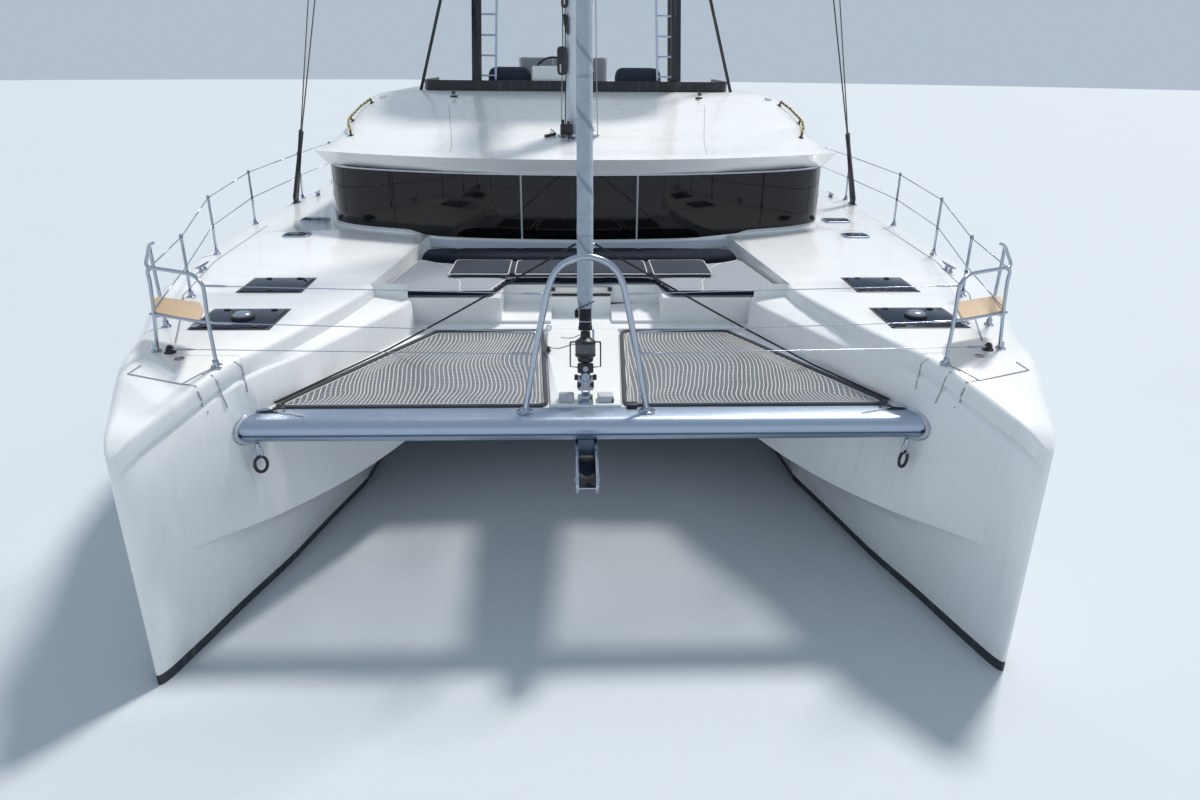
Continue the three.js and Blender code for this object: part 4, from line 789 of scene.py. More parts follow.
class CatamaranStage(bpy.types.PropertyGroup):
    camera_height: length("Camera height", "Height of the camera above the waterline", 3.98)
    camera_back: length("Camera distance", "Distance ahead of the stems", 4.744)
    camera_aside: length("Camera aside", "Distance to port of the centreline", -0.112, -5.0)
    pitch: FloatProperty(name="Pitch", description="How far the camera looks down",
                         default=radians(21.9), subtype="ANGLE")
    yaw: FloatProperty(name="Yaw", description="How far the camera looks to port",
                       default=radians(2.14), subtype="ANGLE")
    roll: FloatProperty(name="Roll", description="How far the horizon rises to the right",
                        default=radians(-0.49), subtype="ANGLE")
    focal: FloatProperty(name="Focal length", description="Lens in millimetres on 36 mm",
                         default=25.53, min=10, max=200)
    floor: colour("Floor", "Colour of the floor at the waterline", (0.56, 0.60, 0.64))
    sun: FloatProperty(name="Key light", description="Strength of the key light",
                       default=3.1, min=0)
    sky: FloatProperty(name="Fill light", description="Strength of the light all round",
                       default=0.6, min=0)


class CatamaranColors(bpy.types.PropertyGroup):
    gelcoat: colour("Gelcoat", "Hulls, decks and roof", (0.86, 0.87, 0.87))
    antifouling: colour("Antifouling", "Paint below the waterline", (0.022, 0.026, 0.036))
    light_cushion: colour("Light cushions", "Front and side cushions", (0.34, 0.36, 0.40))
    middle_cushion: colour("Middle cushions", "Row in the middle", (0.042, 0.050, 0.066))
    dark_cushion: colour("Dark cushions", "Back row and bands", (0.006, 0.011, 0.024))
    canvas: colour("Canvas", "Sail bag and flybridge covers", (0.038, 0.048, 0.070))
    # The sailcloth's blue-grey is painted shade on white cloth
    sailcloth: colour("Sailcloth", "Rolled headsail", (0.46, 0.53, 0.62))
    paint_line: length("Paint line", "Top of the antifouling above the waterline", 0.08)


class CatamaranNets(bpy.types.PropertyGroup):
    spacing: length("Spacing", "Distance between two cords", 0.033, 0.01, 0.2)
    thickness: length("Cord", "Thickness of a cord", 0.0115, 0.002, 0.05)
    wave: length("Wave", "How far the cords wander sideways", 0.30, 0, 1)
    rope: length("Edge rope", "Thickness of the rope round a net", 0.036, 0.005, 0.1)


class CatamaranCushions(bpy.types.PropertyGroup):
    swell: length("Swell", "Most that the stuffing moves the cloth", 0.012, 0, 0.05)
    voxel: length("Grid", "Size of the simulated cloth's cells", 0.03, 0.01, 0.1)
    piping: length("Piping", "Thickness of the piping along an edge", 0.010, 0.002, 0.03)


class CatamaranRig(bpy.types.PropertyGroup):
    rope: length("Sheet", "Thickness of the headsail sheets", 0.016, 0.004, 0.05)
    halyards: IntProperty(name="Halyards", description="Ropes down the mast's side",
                          default=3, min=0, max=6)


class CatamaranRails(bpy.types.PropertyGroup):
    tube: length("Tube", "Diameter of the pulpit's tube", 0.026, 0.01, 0.1)
    wire: length("Wire", "Diameter of a guard wire", 0.009, 0.003, 0.03)
    foot: length("Foot", "Diameter of a stanchion's foot", 0.075, 0.03, 0.2)


class CatamaranHouse(bpy.types.PropertyGroup):
    border: length("Border", "Width of the black border printed on the glass", 0.09, 0, 0.3)
    joint: length("Joint", "Width of the light joints between the panes", 0.02, 0.005, 0.1)
    fitted: BoolProperty(name="Fitted out", description="Draw worktops and table inside",
                         default=True)


SETTINGS = {"stage": CatamaranStage, "colors": CatamaranColors, "nets": CatamaranNets,
            "cushions": CatamaranCushions, "rig": CatamaranRig, "rails": CatamaranRails,
            "house": CatamaranHouse}


class CatamaranSettings(bpy.types.PropertyGroup):
    stage: PointerProperty(type=CatamaranStage)
    colors: PointerProperty(type=CatamaranColors)
    nets: PointerProperty(type=CatamaranNets)
    cushions: PointerProperty(type=CatamaranCushions)
    rig: PointerProperty(type=CatamaranRig)
    rails: PointerProperty(type=CatamaranRails)
    house: PointerProperty(type=CatamaranHouse)


# Stage

FLOOR_RADIUS = 160.0


def build_stage(sizes):
    look = Vector((sin(sizes.yaw) * cos(sizes.pitch),
                   cos(sizes.yaw) * cos(sizes.pitch), -sin(sizes.pitch)))
    level = Vector((cos(sizes.yaw), -sin(sizes.yaw), 0))
    upright = level.cross(look)
    turn, tilt = cos(sizes.roll), sin(sizes.roll)
    right, top = level * turn - upright * tilt, level * tilt + upright * turn
    camera = bpy.data.objects.new("camera", bpy.data.cameras.new("camera"))
    camera.data.sensor_width = 36.0
    camera.data.lens = sizes.focal
    camera.data.clip_end = 500.0
    camera.matrix_world = Matrix.Translation(
        (sizes.camera_aside, CAD_BOX[0].y - sizes.camera_back, sizes.camera_height)) @ Matrix(
        (right, top, -look)).transposed().to_4x4()
    bpy.context.scene.collection.objects.link(camera)
    bpy.context.scene.camera = camera

    floor = Finish("floor", roughness=0.75)
    floor.set(base_color=floor.mix(floor.noise(floor.place(), 0.35, 3), (*sizes.floor, 1),
                                   (*[c * 0.96 for c in sizes.floor], 1)))
    mesh = bpy.data.meshes.new("floor")
    mesh.from_pydata([(x, y, 0) for x, y in circle(FLOOR_RADIUS, 64)], [], [tuple(range(64))])
    mesh.materials.append(floor.material)
    ground = bpy.data.objects.new("floor", mesh)
    bpy.context.scene.collection.objects.link(ground)

    world = bpy.data.worlds.new("sky")
    bpy.context.scene.world = world
    world.use_nodes = True
    back = world.node_tree.nodes["Background"]
    back.inputs["Color"].default_value = (0.74, 0.86, 1.0, 1)
    back.inputs["Strength"].default_value = sizes.sky
    key = bpy.data.lights.new("key", "SUN")
    key.energy, key.angle, key.color = sizes.sun, radians(9), (1.0, 0.97, 0.92)
    lamp = bpy.data.objects.new("key", key)
    lamp.matrix_world = turned_to((0.32, 0.42, 0.85))
    bpy.context.scene.collection.objects.link(lamp)
    bpy.context.scene.view_settings.view_transform = "Standard"


# Hulls and deck

GROOVES = (
    # Moulded steps in the bow's gelcoat, drawn as flat grey strips of painted shade, each through
    # these points of the port side
    ((3.079, -6.273, 1.986), (2.682, -6.392, 1.956), (2.587, -6.403, 1.946),
     (2.572, -6.419, 1.902), (2.574, -6.393, 1.80), (2.544, -6.383, 1.749)),
    ((3.079, -6.273, 1.986), (3.036, -6.176, 2.011)),
    ((2.682, -6.392, 1.956), (2.602, -6.277, 1.985), (2.523, -6.278, 1.976),
     (2.499, -6.272, 1.927), (2.486, -6.261, 1.821), (2.470, -6.246, 1.73)),
    ((2.602, -6.277, 1.985), (2.525, -6.204, 2.003)),
    ((2.439, -6.095, 2.011), (2.407, -6.059, 1.961), (2.389, -6.075, 1.776)),
)
GROOVE_WIDE = 0.015
DECK_CAMBER = ((2.98, -5.75), (3.28, -4.9), (3.46, -4.45), (3.66, -3.2), (3.72, -1.4))


def clung(tree, points, lift=0.0, step=0.04):
    """Points of a path laid on a surface, close together."""
    out = []
    for a, b in zip(points, points[1:]):
        a, b = Vector(a), Vector(b)
        count = max(int((b - a).length / step), 1)
        out += [a.lerp(b, k / count) for k in range(count)]
    laid = []
    for point in out + [Vector(points[-1])]:
        spot, normal, _, _ = tree.find_nearest(point)
        laid.append(spot + normal * lift)
    return laid


def build_hulls():
    for side, sign in SIDES:
        dress(f"hull_skin_{side}", f"hull_{side}", "hull", crease=32, bevel=0.012)
        deck = surface_tree(f"hull_{side}")
        # The grey strips along the bow's steps and the deck's camber fold are painted shade in
        # their creases
        lines = [clung(deck, on_side(path, sign), 0.0015) for path in GROOVES]
        camber = [(x, y, 2.1) for x, y in on_side(DECK_CAMBER, sign)]
        lines.append(clung(deck, camber, 0.0005, 0.1))
        cords(f"deck_shade_lines_{side}", lines, GROOVE_WIDE, "sealant", flatness=0.35)
    dress("bridgedeck_skin", "bridgedeck", "gelcoat", crease=32, bevel=0.015, bevel_steps=3)
    dress("longeron_skin", "longeron", "gelcoat", crease=30, bevel=0.012, bevel_steps=3)


# Fixed fittings on the side decks and in the well

BOW_CHOCK = (2.924, -5.964)
FLUSH_RING = (2.815, -6.078)
SMALL_HATCHES = ((3.25, -1.04, 0.34, 0.26), (3.21, -1.95, 0.30, 0.24))  # x, y, width, length
CLEATS = ((3.62, -3.6, 90.0), (3.74, 0.9, 88.0), (3.62, 5.1, 94.0))     # x, y, heading
WINCH = (2.35, 5.30)
LID_HALF, LID_FRONT = 0.30, -3.555


def cleat(form, point, heading):
    """A horn cleat on two feet."""
    place = placed(point) @ Matrix.Rotation(radians(heading), 4, "Z")
    for end in (0.05, -0.05):
        form.lathe([(0, 0), (0.024, 0), (0.018, 0.01), (0.013, 0.04), (0, 0.05)], 14,
                   matrix=place @ placed((end, 0, 0)))
    horn = smooth_path([(-0.15, 0, 0.062), (-0.1, 0, 0.055), (0, 0, 0.052), (0.1, 0, 0.055),
                        (0.15, 0, 0.062)], 6)
    radii = [0.006 + 0.008 * cos(pi / 2 * (p.x / 0.155)) for p in horn]
    form.tube([place @ p for p in horn], radii, 12)


def winch(form, point):
    """A drum winch: base, waisted drum, self-tailing jaws and its socket."""
    form.lathe([(0, 0), (0.085, 0), (0.085, 0.012), (0.07, 0.02), (0.052, 0.035),
                (0.047, 0.07), (0.05, 0.1), (0.066, 0.112), (0.07, 0.122), (0.06, 0.126),
                (0.07, 0.131), (0.066, 0.142), (0.04, 0.148), (0.016, 0.15), (0.014, 0.135),
                (0, 0.135)], 32, matrix=placed(point))


def build_deck():
    black, steel = Form(), Form()
    for side, sign in SIDES:
        deck = surface_tree(f"hull_{side}")

        def spot(x, y):
            return drop(deck, sign * x, y)[0]
        # A black lead for a line: a dome on a round foot
        black.lathe([(0, 0), (0.040, 0), (0.040, 0.008), (0.030, 0.014), (0.027, 0.034),
                     (0.016, 0.052), (0, 0.058)], 24, matrix=placed(spot(*BOW_CHOCK)))
        steel.lathe([(0.018, 0.0), (0.034, 0.0), (0.034, 0.003), (0.026, 0.004),
                     (0.018, 0.001)], 24,
                    matrix=placed(*drop(deck, sign * FLUSH_RING[0], FLUSH_RING[1])))
        for x, y, heading in CLEATS:
            cleat(steel, spot(x, y), heading * sign)
        winch(steel, spot(*WINCH))
        for number, (x, y, wide, long) in enumerate(SMALL_HATCHES, 1):
            hatch, place = Form(), placed(spot(x, y))
            outline = oblong((-wide / 2, -long / 2), (wide / 2, long / 2), 0.07, 5)
            hatch.slab(outline, 0, 0.016, 0.005, 0, place)
            hatch.slab(inset(outline, 0.022), 0.016, 0.021, 0.002, 1, place)
            for end in (0.06, -0.06):
                hatch.box((end - 0.016, -long / 2 + 0.03, 0.02),
                          (end + 0.016, -long / 2 + 0.07, 0.03), 0.003, mark=2, matrix=place)
            add_piece(f"small_hatch_{number}_{side}", hatch,
                      ["aluminium", "hatch glass", "black trim"], slot="tinted_glass")
    add_piece("deck_chocks", black, "black trim")
    add_piece("deck_cleats", steel, "stainless")

    half, front = LID_HALF, LID_FRONT
    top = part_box("sunpad_front")[0].z - 0.002
    low = drop(surface_tree("bridgedeck"), 0, front - 0.02)[0].z
    lid = Form()
    lid.box((-half, front - 0.012, low + 0.02), (half, front + 0.028, top - 0.012), 0.01)
    lid.box((-half + 0.05, front - 0.017, low + 0.035), (half - 0.05, front - 0.01, top - 0.06))
    for x in (-half + 0.02, half - 0.02):
        lid.box((x - 0.022, front - 0.03, top - 0.05), (x + 0.022, front - 0.008, top - 0.012),
                mark=1)
    lid.box((-half + 0.01, front - 0.02, low + 0.006), (half - 0.01, front + 0.02, low + 0.02),
            0.003, mark=1)
    add_piece("well_lid", lid, ["locker lid", "black trim"], crease=35)


UNDERWATER = (
    # node, finish, softened edge, whether it moves on its own joint
    ("keel", "antifouling", 0.01, False), ("rudder", "antifouling", 0.006, True),
    ("saildrive", "saildrive paint", 0.006, False), ("propeller", "bronze", 0.003, True))


def build_underwater():
    for side, _ in SIDES:
        for name, finish, soft_edge, moves in UNDERWATER:
            node = f"{name}_{side}"
            dress(f"{name}_skin_{side}", node, finish, body=node if moves else "root",
                  bevel=soft_edge)


# Nets

NET_Z = 1.596
NET_BACK_Y = -4.09
NET_FRONT_Y = -5.955
NET_MARGIN = 0.055
NET_HELD = 0.30                         # the cords wander less this close to the edge
NET_BACK_INNER, NET_BACK_OUTER = 0.352, 1.38


def net_edges(y):
    """The x of a net's inner and outer edge at a place along it."""
    low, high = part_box("trampoline_port")
    share = (y - NET_FRONT_Y) / (NET_BACK_Y - NET_FRONT_Y)
    return [start + (end - start) * share
            for start, end in ((low.x + 0.004, NET_BACK_INNER),
                                (high.x - 0.006, NET_BACK_OUTER))]


def net_paths(spacing, sign, lengthwise, z):
    """The straight lines of a net's cords one way, and how freely each point may wander."""
    paths, hold = [], []
    points = 43

    def place(x, y):
        near, far = net_edges(y)
        away = min(x - near, far - x, y - NET_FRONT_Y, NET_BACK_Y - y)
        hold.append(max(0.0, min(1.0, away / NET_HELD)))
        return (sign * x, y, z)

    front, back = NET_FRONT_Y + 0.02, NET_BACK_Y - NET_MARGIN
    if lengthwise:
        wide, narrow = net_edges(NET_FRONT_Y)[1], net_edges(NET_BACK_Y)[1]
        for x in np.arange(net_edges(front)[0] + NET_MARGIN, wide - NET_MARGIN, spacing):
            share = (x + NET_MARGIN - wide) / (narrow - wide)
            end = min(back, NET_FRONT_Y + share * (NET_BACK_Y - NET_FRONT_Y))
            if end > front + 0.13:
                paths.append([place(max(x, net_edges(y)[0] + NET_MARGIN - 0.03), y)
                              for y in np.linspace(front, end, points)])
    else:
        for y in np.arange(front + 0.025, back, spacing):
            near, far = net_edges(y)
            paths.append([place(x, y)
                          for x in np.linspace(near + NET_MARGIN, far - NET_MARGIN, points)])
    return paths, hold


def joined(name, *meshes):
    """One mesh of several, each keeping its materials in order."""
    corners, faces, marks = [], [], []
    for mark, mesh in enumerate(meshes):
        start = len(corners)
        corners += [tuple(v.co) for v in mesh.vertices]
        faces += [tuple(start + i for i in p.vertices) for p in mesh.polygons]
        marks += [mark] * len(mesh.polygons)
    whole = bpy.data.meshes.new(name)
    whole.from_pydata(corners, [], faces)
    whole.polygons.foreach_set("material_index", marks)
    return whole


def build_nets(sizes):
    for side, sign in SIDES:
        layers = []
        # The lower, crosswise layer takes the darker cord: painted shade under the upper layer
        for finish, lengthwise, z, thick, sides in (
                ("net cord", True, NET_Z, 1, 6), ("net shade cord", False, NET_Z - 0.002, 0.55, 4)):
            paths, hold = net_paths(sizes.spacing, sign, lengthwise, z)
            layers.append(strands(f"net_layer_{side}", paths, sizes.thickness * thick, finish,
                                  sides, 0.6, sizes.wave, 0.9, hold))
        show(f"net_{side}", joined(f"net_{side}", *layers), ["net cord", "net shade cord"],
             replaces=f"trampoline_{side}", crease=180)
        (near0, far0), (near1, far1) = net_edges(NET_FRONT_Y), net_edges(NET_BACK_Y)
        rope = sizes.rope / 2
        ring = rounded(on_side([
            (near0 + rope, NET_FRONT_Y + rope), (far0 - rope, NET_FRONT_Y + rope),
            (far1 - rope, NET_BACK_Y - rope), (near1 + rope, NET_BACK_Y - rope)], sign), 0.08, 5)
        border = Form().tube([(x, y, NET_Z + 0.003) for x, y in ring], rope, 12, closed=True)
        add_piece(f"net_edge_{side}", border, "border rope", crease=180)
        laced = Form().tube([(x, y, NET_Z + 0.004) for x, y in inset(ring, 0.045)], 0.006, 8,
                            closed=True)
        add_piece(f"net_lacing_{side}", laced, "white rope", crease=180)


# Bow gear

BEAM_PROFILE = (
    # y, z round the crossbeam's section: flat top, round front with a track, hollow foot
    (-5.97, 1.425), (-5.97, 1.60), (-6.15, 1.60), (-6.16, 1.596), (-6.168, 1.603),
    (-6.182, 1.598), (-6.205, 1.580), (-6.217, 1.556), (-6.22, 1.53), (-6.218, 1.51),
    (-6.196, 1.507), (-6.196, 1.488), (-6.214, 1.484), (-6.206, 1.463), (-6.19, 1.444),
    (-6.165, 1.43), (-6.13, 1.425))
BEAM_Y, BEAM_Z = -6.10, 1.51
CLEAR_X, BOW_INNER_X = 1.5, 2.6         # between the hulls, and past their inner faces
HOOP_HALF = ((0.442, 1.60), (0.40, 1.83), (0.36, 2.05), (0.293, 2.37), (0.256, 2.53),
             (0.208, 2.632), (0.128, 2.702))
HOOP_TOP = 2.735
STAY_FOOT = Vector((0, -5.85, 1.70))
STAY = (Vector((0, -1.215, 18.9)) - STAY_FOOT).normalized()
CLEW = (0.07, -5.66, 2.74)
SHEET_LANDS = {"starboard": -4.662, "port": -5.118}


def on_stay(distance, aside=0.0, ahead=0.0):
    return STAY_FOOT + STAY * distance + Vector((aside, ahead, 0))


def bolt(form, point, direction, radius=0.013, mark=0):
    """A hexagon head on its washer."""
    place = placed(point, direction)
    form.pin(radius * 1.5, 0, 0.003, 18, mark, place)
    form.lathe([(0, 0.003), (radius, 0.003), (radius, 0.011), (radius * 0.8, 0.013),
                (0, 0.013)], 6, mark, place)


def link(form, centre, wide, tall, wire, mark=0, turn=0.0):
    """A long ring that hangs in a vertical plane."""
    aside = Vector((cos(turn), sin(turn), 0))
    form.tube([Vector(centre) + aside * x * wide / 2 + UP * z * tall / 2
               for x, z in circle(1, 24)], wire, 10, mark, closed=True)


def build_crossbeam():
    low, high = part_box("crossbeam")
    beam = Form().prism(BEAM_PROFILE, np.linspace(low.x + 0.003, high.x - 0.003, 24))
    add_piece("crossbeam_skin", beam, "aluminium", replaces="crossbeam", crease=28)
    ends, gear = Form(), Form()
    half_deep, half_high = (high.y - low.y) / 2, (high.z - low.z) / 2
    for side, sign in SIDES:
        # The flange lies on the hull's inner face, round the front of the beam's end
        tree, outboard = surface_tree(f"hull_{side}"), Vector((sign, 0, 0))
        for grow, radius, mark in ((1.09, 0.018, 0), (1.24, 0.008, 1)):
            ring = []
            for angle in np.radians(np.arange(100, 300, 8)):
                aim = Vector((sign * CLEAR_X, BEAM_Y + grow * half_deep * cos(angle),
                              BEAM_Z + grow * half_high * sin(angle)))
                spot = tree.ray_cast(aim, outboard)[0]
                if spot is not None and abs(spot.x) < BOW_INNER_X:
                    ring.append(spot)
            ends.tube(ring, radius, 10, mark)
        wall = tree.ray_cast(Vector((sign * CLEAR_X, -6.2, 1.36)), outboard)[0]
        if wall is None:
            raise RuntimeError("the crossbeam doesn't meet the hull")
        eye = Vector((wall.x - sign * 0.10, -6.20, 1.405))
        gear.tube([eye + UP * 0.03, eye - UP * 0.012], 0.016, 12)
        link(gear, eye - UP * 0.045, 0.05, 0.095, 0.009, 0, 0.3)
        link(gear, eye + Vector((-sign * 0.006, 0, -0.135)), 0.085, 0.12, 0.012, 1, 0.5)
        # A small turnbuckle that lies on the beam, its hook and its tail
        gear.tube(on_side([(2.36, -6.03, 1.612), (2.30, -6.022, 1.616), (2.25, -6.02, 1.618)],
                          sign), [0.008, 0.014, 0.008], 12)
        hook = [(2.25, -6.02, 1.618), (2.22, -6.012, 1.622), (2.18, -5.995, 1.618),
                (2.19, -5.97, 1.612)]
        gear.tube(smooth_path(on_side(hook, sign), 5), 0.007, 8, 1)
        gear.tube(on_side([(2.24, -6.03, 1.611), (2.12, -6.075, 1.607), (2.0, -6.12, 1.606)],
                          sign), 0.004, 8, 2)
        gear.box((sign * 2.28 - 0.06, -6.045, 1.6), (sign * 2.28 + 0.06, -6.005, 1.609), 0.003,
                 mark=1)
    add_piece("beam_flanges", ends, ["grey plastic", "stainless"], slot="stainless")
    add_piece("beam_shackles", gear, ["stainless", "black trim", "white rope"])


def build_roller():
    """The anchor's channel with its two cheeks, black wheel and pin."""
    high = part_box("bow_roller")[1]
    form = Form()
    plate = rounded([(-6.60, 1.235), (-6.618, 1.29), (-6.575, 1.375), (-6.25, high.z - 0.002),
                     (-5.995, high.z - 0.002), (-5.995, 1.335), (-6.30, 1.203), (-6.55, 1.2)],
                    0.03, 4)
    for sign in (1, -1):
        outer = sign * high.x
        form.prism(plate, (sign * 0.058, outer))
        bolt(form, (outer, -6.54, 1.30), (sign, 0, 0), 0.014)
        form.tube([(outer, y, z) for y, z in plate[:24]], 0.005, 8)
    form.loft([[(-0.058, y, z), (0.058, y, z), (0.058, y, z + 0.008), (-0.058, y, z + 0.008)]
               for y, z in ((-6.5, 1.205), (-6.3, 1.207), (-5.995, 1.337))])
    form.lathe([(0, -0.054), (0.043, -0.054), (0.043, -0.045), (0.02, -0.012), (0.02, 0.012),
                (0.043, 0.045), (0.043, 0.054), (0, 0.054)], 28, 1,
               placed((0, -6.54, 1.30), (1, 0, 0)))
    form.pin(0.026, -0.054, 0.054, 24, 1, placed((0, -6.31, 1.345), (1, 0, 0)))
    add_piece("bow_roller_skin", form, ["stainless", "rubber"], replaces="bow_roller")


def build_hoop():
    low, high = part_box("bow_hoop")
    y = (low.y + high.y) / 2
    half = [(x, y, z) for x, z in HOOP_HALF]
    hoop = Form().tube(smooth_path(half + [(0, y, HOOP_TOP)] + on_side(half[::-1], -1)), 0.023,
                       20)
    for sign in (1, -1):
        spot = Vector((sign * HOOP_HALF[0][0], y, low.z))
        hoop.lathe([(0, 0), (0.062, 0), (0.062, 0.008), (0.04, 0.014), (0.03, 0.034),
                    (0, 0.034)], 28, matrix=placed(spot))
        for around in circle(0.047, 4, pi / 4):
            bolt(hoop, spot + Vector((*around, 0.009)), UP, 0.006)
    add_piece("bow_hoop_tube", hoop, "stainless", replaces="bow_hoop")


def build_stay_foot():
    """Toggle, link and the fixed frame round the furling drum."""
    form = Form()
    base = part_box("forestay_foot")[0].z
    axis = placed(STAY_FOOT, STAY)
    pivot = placed(on_stay(0.03), (1, 0, 0))
    form.box((-0.055, -5.965, base), (0.055, -5.785, base + 0.012))
    form.box((-0.03, -5.93, base + 0.01), (0.03, -5.83, base + 0.05), 0.01)
    for x in (-0.026, 0.026):
        form.box((x - 0.007, -0.03, -0.05), (x + 0.007, 0.03, 0.09), 0.005, 0.012, matrix=axis)
    form.pin(0.016, -0.05, 0.05, 20, 0, pivot)
    cap = [(0, -0.062), (0.026, -0.062), (0.026, -0.038), (0.02, -0.034), (0, -0.034)]
    form.lathe(cap, 20, 1, pivot)
    form.lathe([(r, -z) for r, z in cap[::-1]], 20, 1, pivot)
    form.box((-0.058, -0.02, -0.012), (0.058, 0.02, 0.068), 0.006, 0.016, 2, axis)
    form.box((-0.02, -0.013, 0.06), (0.02, 0.013, 0.13), 0.005, 0.01, matrix=axis)
    for end in (-0.068, 0.068):
        form.box((end - 0.015, -0.024, 0.065), (end + 0.015, 0.024, 0.106), 0.006, 0.012, 1,
                 axis)
    form.pin(0.014, -0.06, 0.06, 20, 0, axis @ placed((0, 0, 0.086), (1, 0, 0)))
    form.lathe([(0, -0.022), (0.042, -0.022), (0.042, 0.0), (0.03, 0.012), (0, 0.014)], 24, 0,
               axis @ placed((0, -0.012, 0.088), (0, -1, 0)))
    form.box((-0.059, -0.045, 0.118), (0.059, 0.045, 0.190), 0.008, 0.02, 1, axis)
    bolt(form, axis @ Vector((0, -0.045, 0.15)), (0, -1, 0.2))
    for sign in (1, -1):
        for outline, radius in (
                (((-0.05, 0.16), (-0.112, 0.165), (-0.112, 0.34), (-0.108, 0.35)), 0.0055),
                (((0.112, 0.338), (0.10, 0.346), (0.085, 0.344)), 0.005)):
            form.tube([axis @ Vector((sign * x, 0, z)) for x, z in outline], radius, 8, 1)
    form.tube([axis @ Vector((0.112 * cos(a), 0.112 * sin(a), 0.345))
               for a in np.linspace(0.0, pi, 14)], 0.005, 8, 1)
    # Blocks and cleats on the beam beside it
    for low, high, edge, corner, mark in (
            ((-0.200, -5.935, 1.62), (-0.084, -5.83, 1.672), 0.012, 0.02, 2),
            ((0.088, -5.935, 1.62), (0.204, -5.83, 1.672), 0.012, 0.02, 2),
            ((0.192, -5.937, 1.62), (0.208, -5.86, 1.65), 0.004, 0.006, 1),
            ((0.30, -6.0, 1.601), (0.38, -5.93, 1.63), 0.006, 0.01, 1)):
        form.box(low, high, edge, corner, mark)
    add_piece("forestay_link", form, ["stainless", "black trim", "grey plastic"],
              replaces="forestay_foot")


FURLING_BLOCK = (-0.30, -4.77, 1.655)
FURLING_EYE = (-0.31, -4.13, 1.645)


def block(form, point, direction, size):
    """A rope block: two black cheeks and a steel sheave between them."""
    place = placed(point, direction)
    cheek = oblong((-0.03 * size, -0.045 * size), (0.03 * size, 0.045 * size), 0.028 * size, 5)
    for z in (-0.02, 0.012):
        form.slab(cheek, z * size, (z + 0.008) * size, 0.002 * size, 0, place, 2, True)
    form.lathe([(r * size, z * size) for r, z in (
        (0, -0.011), (0.028, -0.011), (0.02, 0), (0.028, 0.011), (0, 0.011))], 20, 1, place)


def build_headsail_sheets(sizes):
    ropes, fittings = Form(), Form()
    for side, sign in SIDES:
        # Taut from the roll to the net's outer edge, then on along it to the beam
        clew = Vector((sign * CLEW[0], *CLEW[1:]))
        y = SHEET_LANDS[side]
        landed = Vector((sign * (net_edges(y)[1] + 0.002), y, 1.628))
        corner = Vector((sign * (net_edges(-5.9)[1] - 0.01), -5.9, 1.622))
        run = [clew, clew.lerp(landed, 0.5) - UP * 0.012, landed - (landed - clew) * 0.03,
               landed, landed.lerp(corner, 0.04), landed.lerp(corner, 0.5), corner]
        ropes.tube(smooth_path(run), sizes.rope / 2)
    block(fittings, FURLING_BLOCK, (0.2, 0.3, 1), 0.9)
    fittings.lathe([(0, 0), (0.022, 0), (0.022, 0.012), (0.01, 0.02), (0, 0.02)], 16, 1,
                   placed((*FURLING_BLOCK[:2], 1.62)))
    link(fittings, FURLING_EYE, 0.04, 0.045, 0.006, 1)
    furling = [on_stay(0.30, -0.06, 0.02), on_stay(0.30, -0.085, 0.10), (-0.20, -5.2, 1.80),
               (-0.285, -4.80, 1.672), (-0.305, -4.72, 1.655), (-0.312, -4.4, 1.646),
               FURLING_EYE, (-0.31, -4.085, 1.63)]
    ropes.tube(smooth_path(furling, 6), 0.006, 8, 1)
    lash = [on_stay(0.40, -0.04, 0.0), (-0.1, -5.74, 2.06), (-0.18, -5.7, 2.05)]
    ropes.tube(smooth_path(lash, 5), 0.004, 6, 1)
    add_piece("headsail_sheets", ropes, ["dark rope", "white rope"], crease=180)
    add_piece("furling_block", fittings, ["black trim", "stainless"])


def build_bow_gear(sizes):
    build_crossbeam()
    build_roller()
    build_hoop()
    build_stay_foot()
    build_headsail_sheets(sizes)


# House

HOUSE_KNOTS = ((0, -2.10), (1.10, -2.01), (2.10, -1.75), (2.80, -1.37), (3.05, -0.80))
PANE = (0.003, 0.0123)                  # the glass stands this far out of the wall
GLASS_FOOT, GLASS_TOP = 2.125, 2.77
SILL = (1.955, 2.042)
CORNER_GAP = 0.003
LEDGE_Z = 2.105                         # the solid wall's ledge under the glass


def foot_drop(x):
    """How far the glass comes down in front, between the side decks."""
    share = min(max((2.0 - abs(x)) / 0.31, 0.0), 1.0)
    return 0.06 * share * share * (3 - 2 * share)


def glass_foot(x, lift=0.0):
    return GLASS_FOOT - foot_drop(x) + lift


class WallLine:
    """The outside of the house's wall in plan, measured along from the centreline."""

    def __init__(self):
        half = smooth_path([(x, y, 0) for x, y in HOUSE_KNOTS], 12)
        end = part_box("side_window_port")[1].y + 0.3
        half += [Vector((half[-1].x, y, 0)) for y in np.arange(half[-1].y + 0.1, end, 0.1)]
        points = [Vector((-p.x, p.y, 0)) for p in half[:0:-1]] + half
        self.xs, self.ys = [p.x for p in points], [p.y for p in points]
        steps = [0.0] + [(b - a).length for a, b in zip(points, points[1:])]
        self.lengths = np.cumsum(steps) - sum(steps) / 2
        self.port = len(half)

    def at(self, x=None, y=None):
        """The distance along to a place on the port side, by its x or its y."""
        known, want = (self.xs, x) if y is None else (self.ys, y)
        return float(np.interp(want, known[-self.port:], self.lengths[-self.port:]))

    def place(self, s):
        spots = [Vector((float(np.interp(t, self.lengths, self.xs)),
                         float(np.interp(t, self.lengths, self.ys)), 0))
                 for t in (s, s - 0.03, s + 0.03)]
        along = (spots[2] - spots[1]).normalized()
        return spots[0], Vector((along.y, -along.x, 0))

    def band(self, form, start, end, near, far, low, top):
        """A strip between two distances along the wall and two outwards from it."""
        inner = [s for s in self.lengths if start + 0.01 < s < end - 0.01]
        rings = []
        for s in [start, *inner, end]:
            here, out = self.place(s)
            foot = low(here.x) if callable(low) else low
            rings.append([here + out * away + UP * z for away, z in (
                (near, foot), (far, foot), (far, top), (near, top))])
        return form.loft(rings)


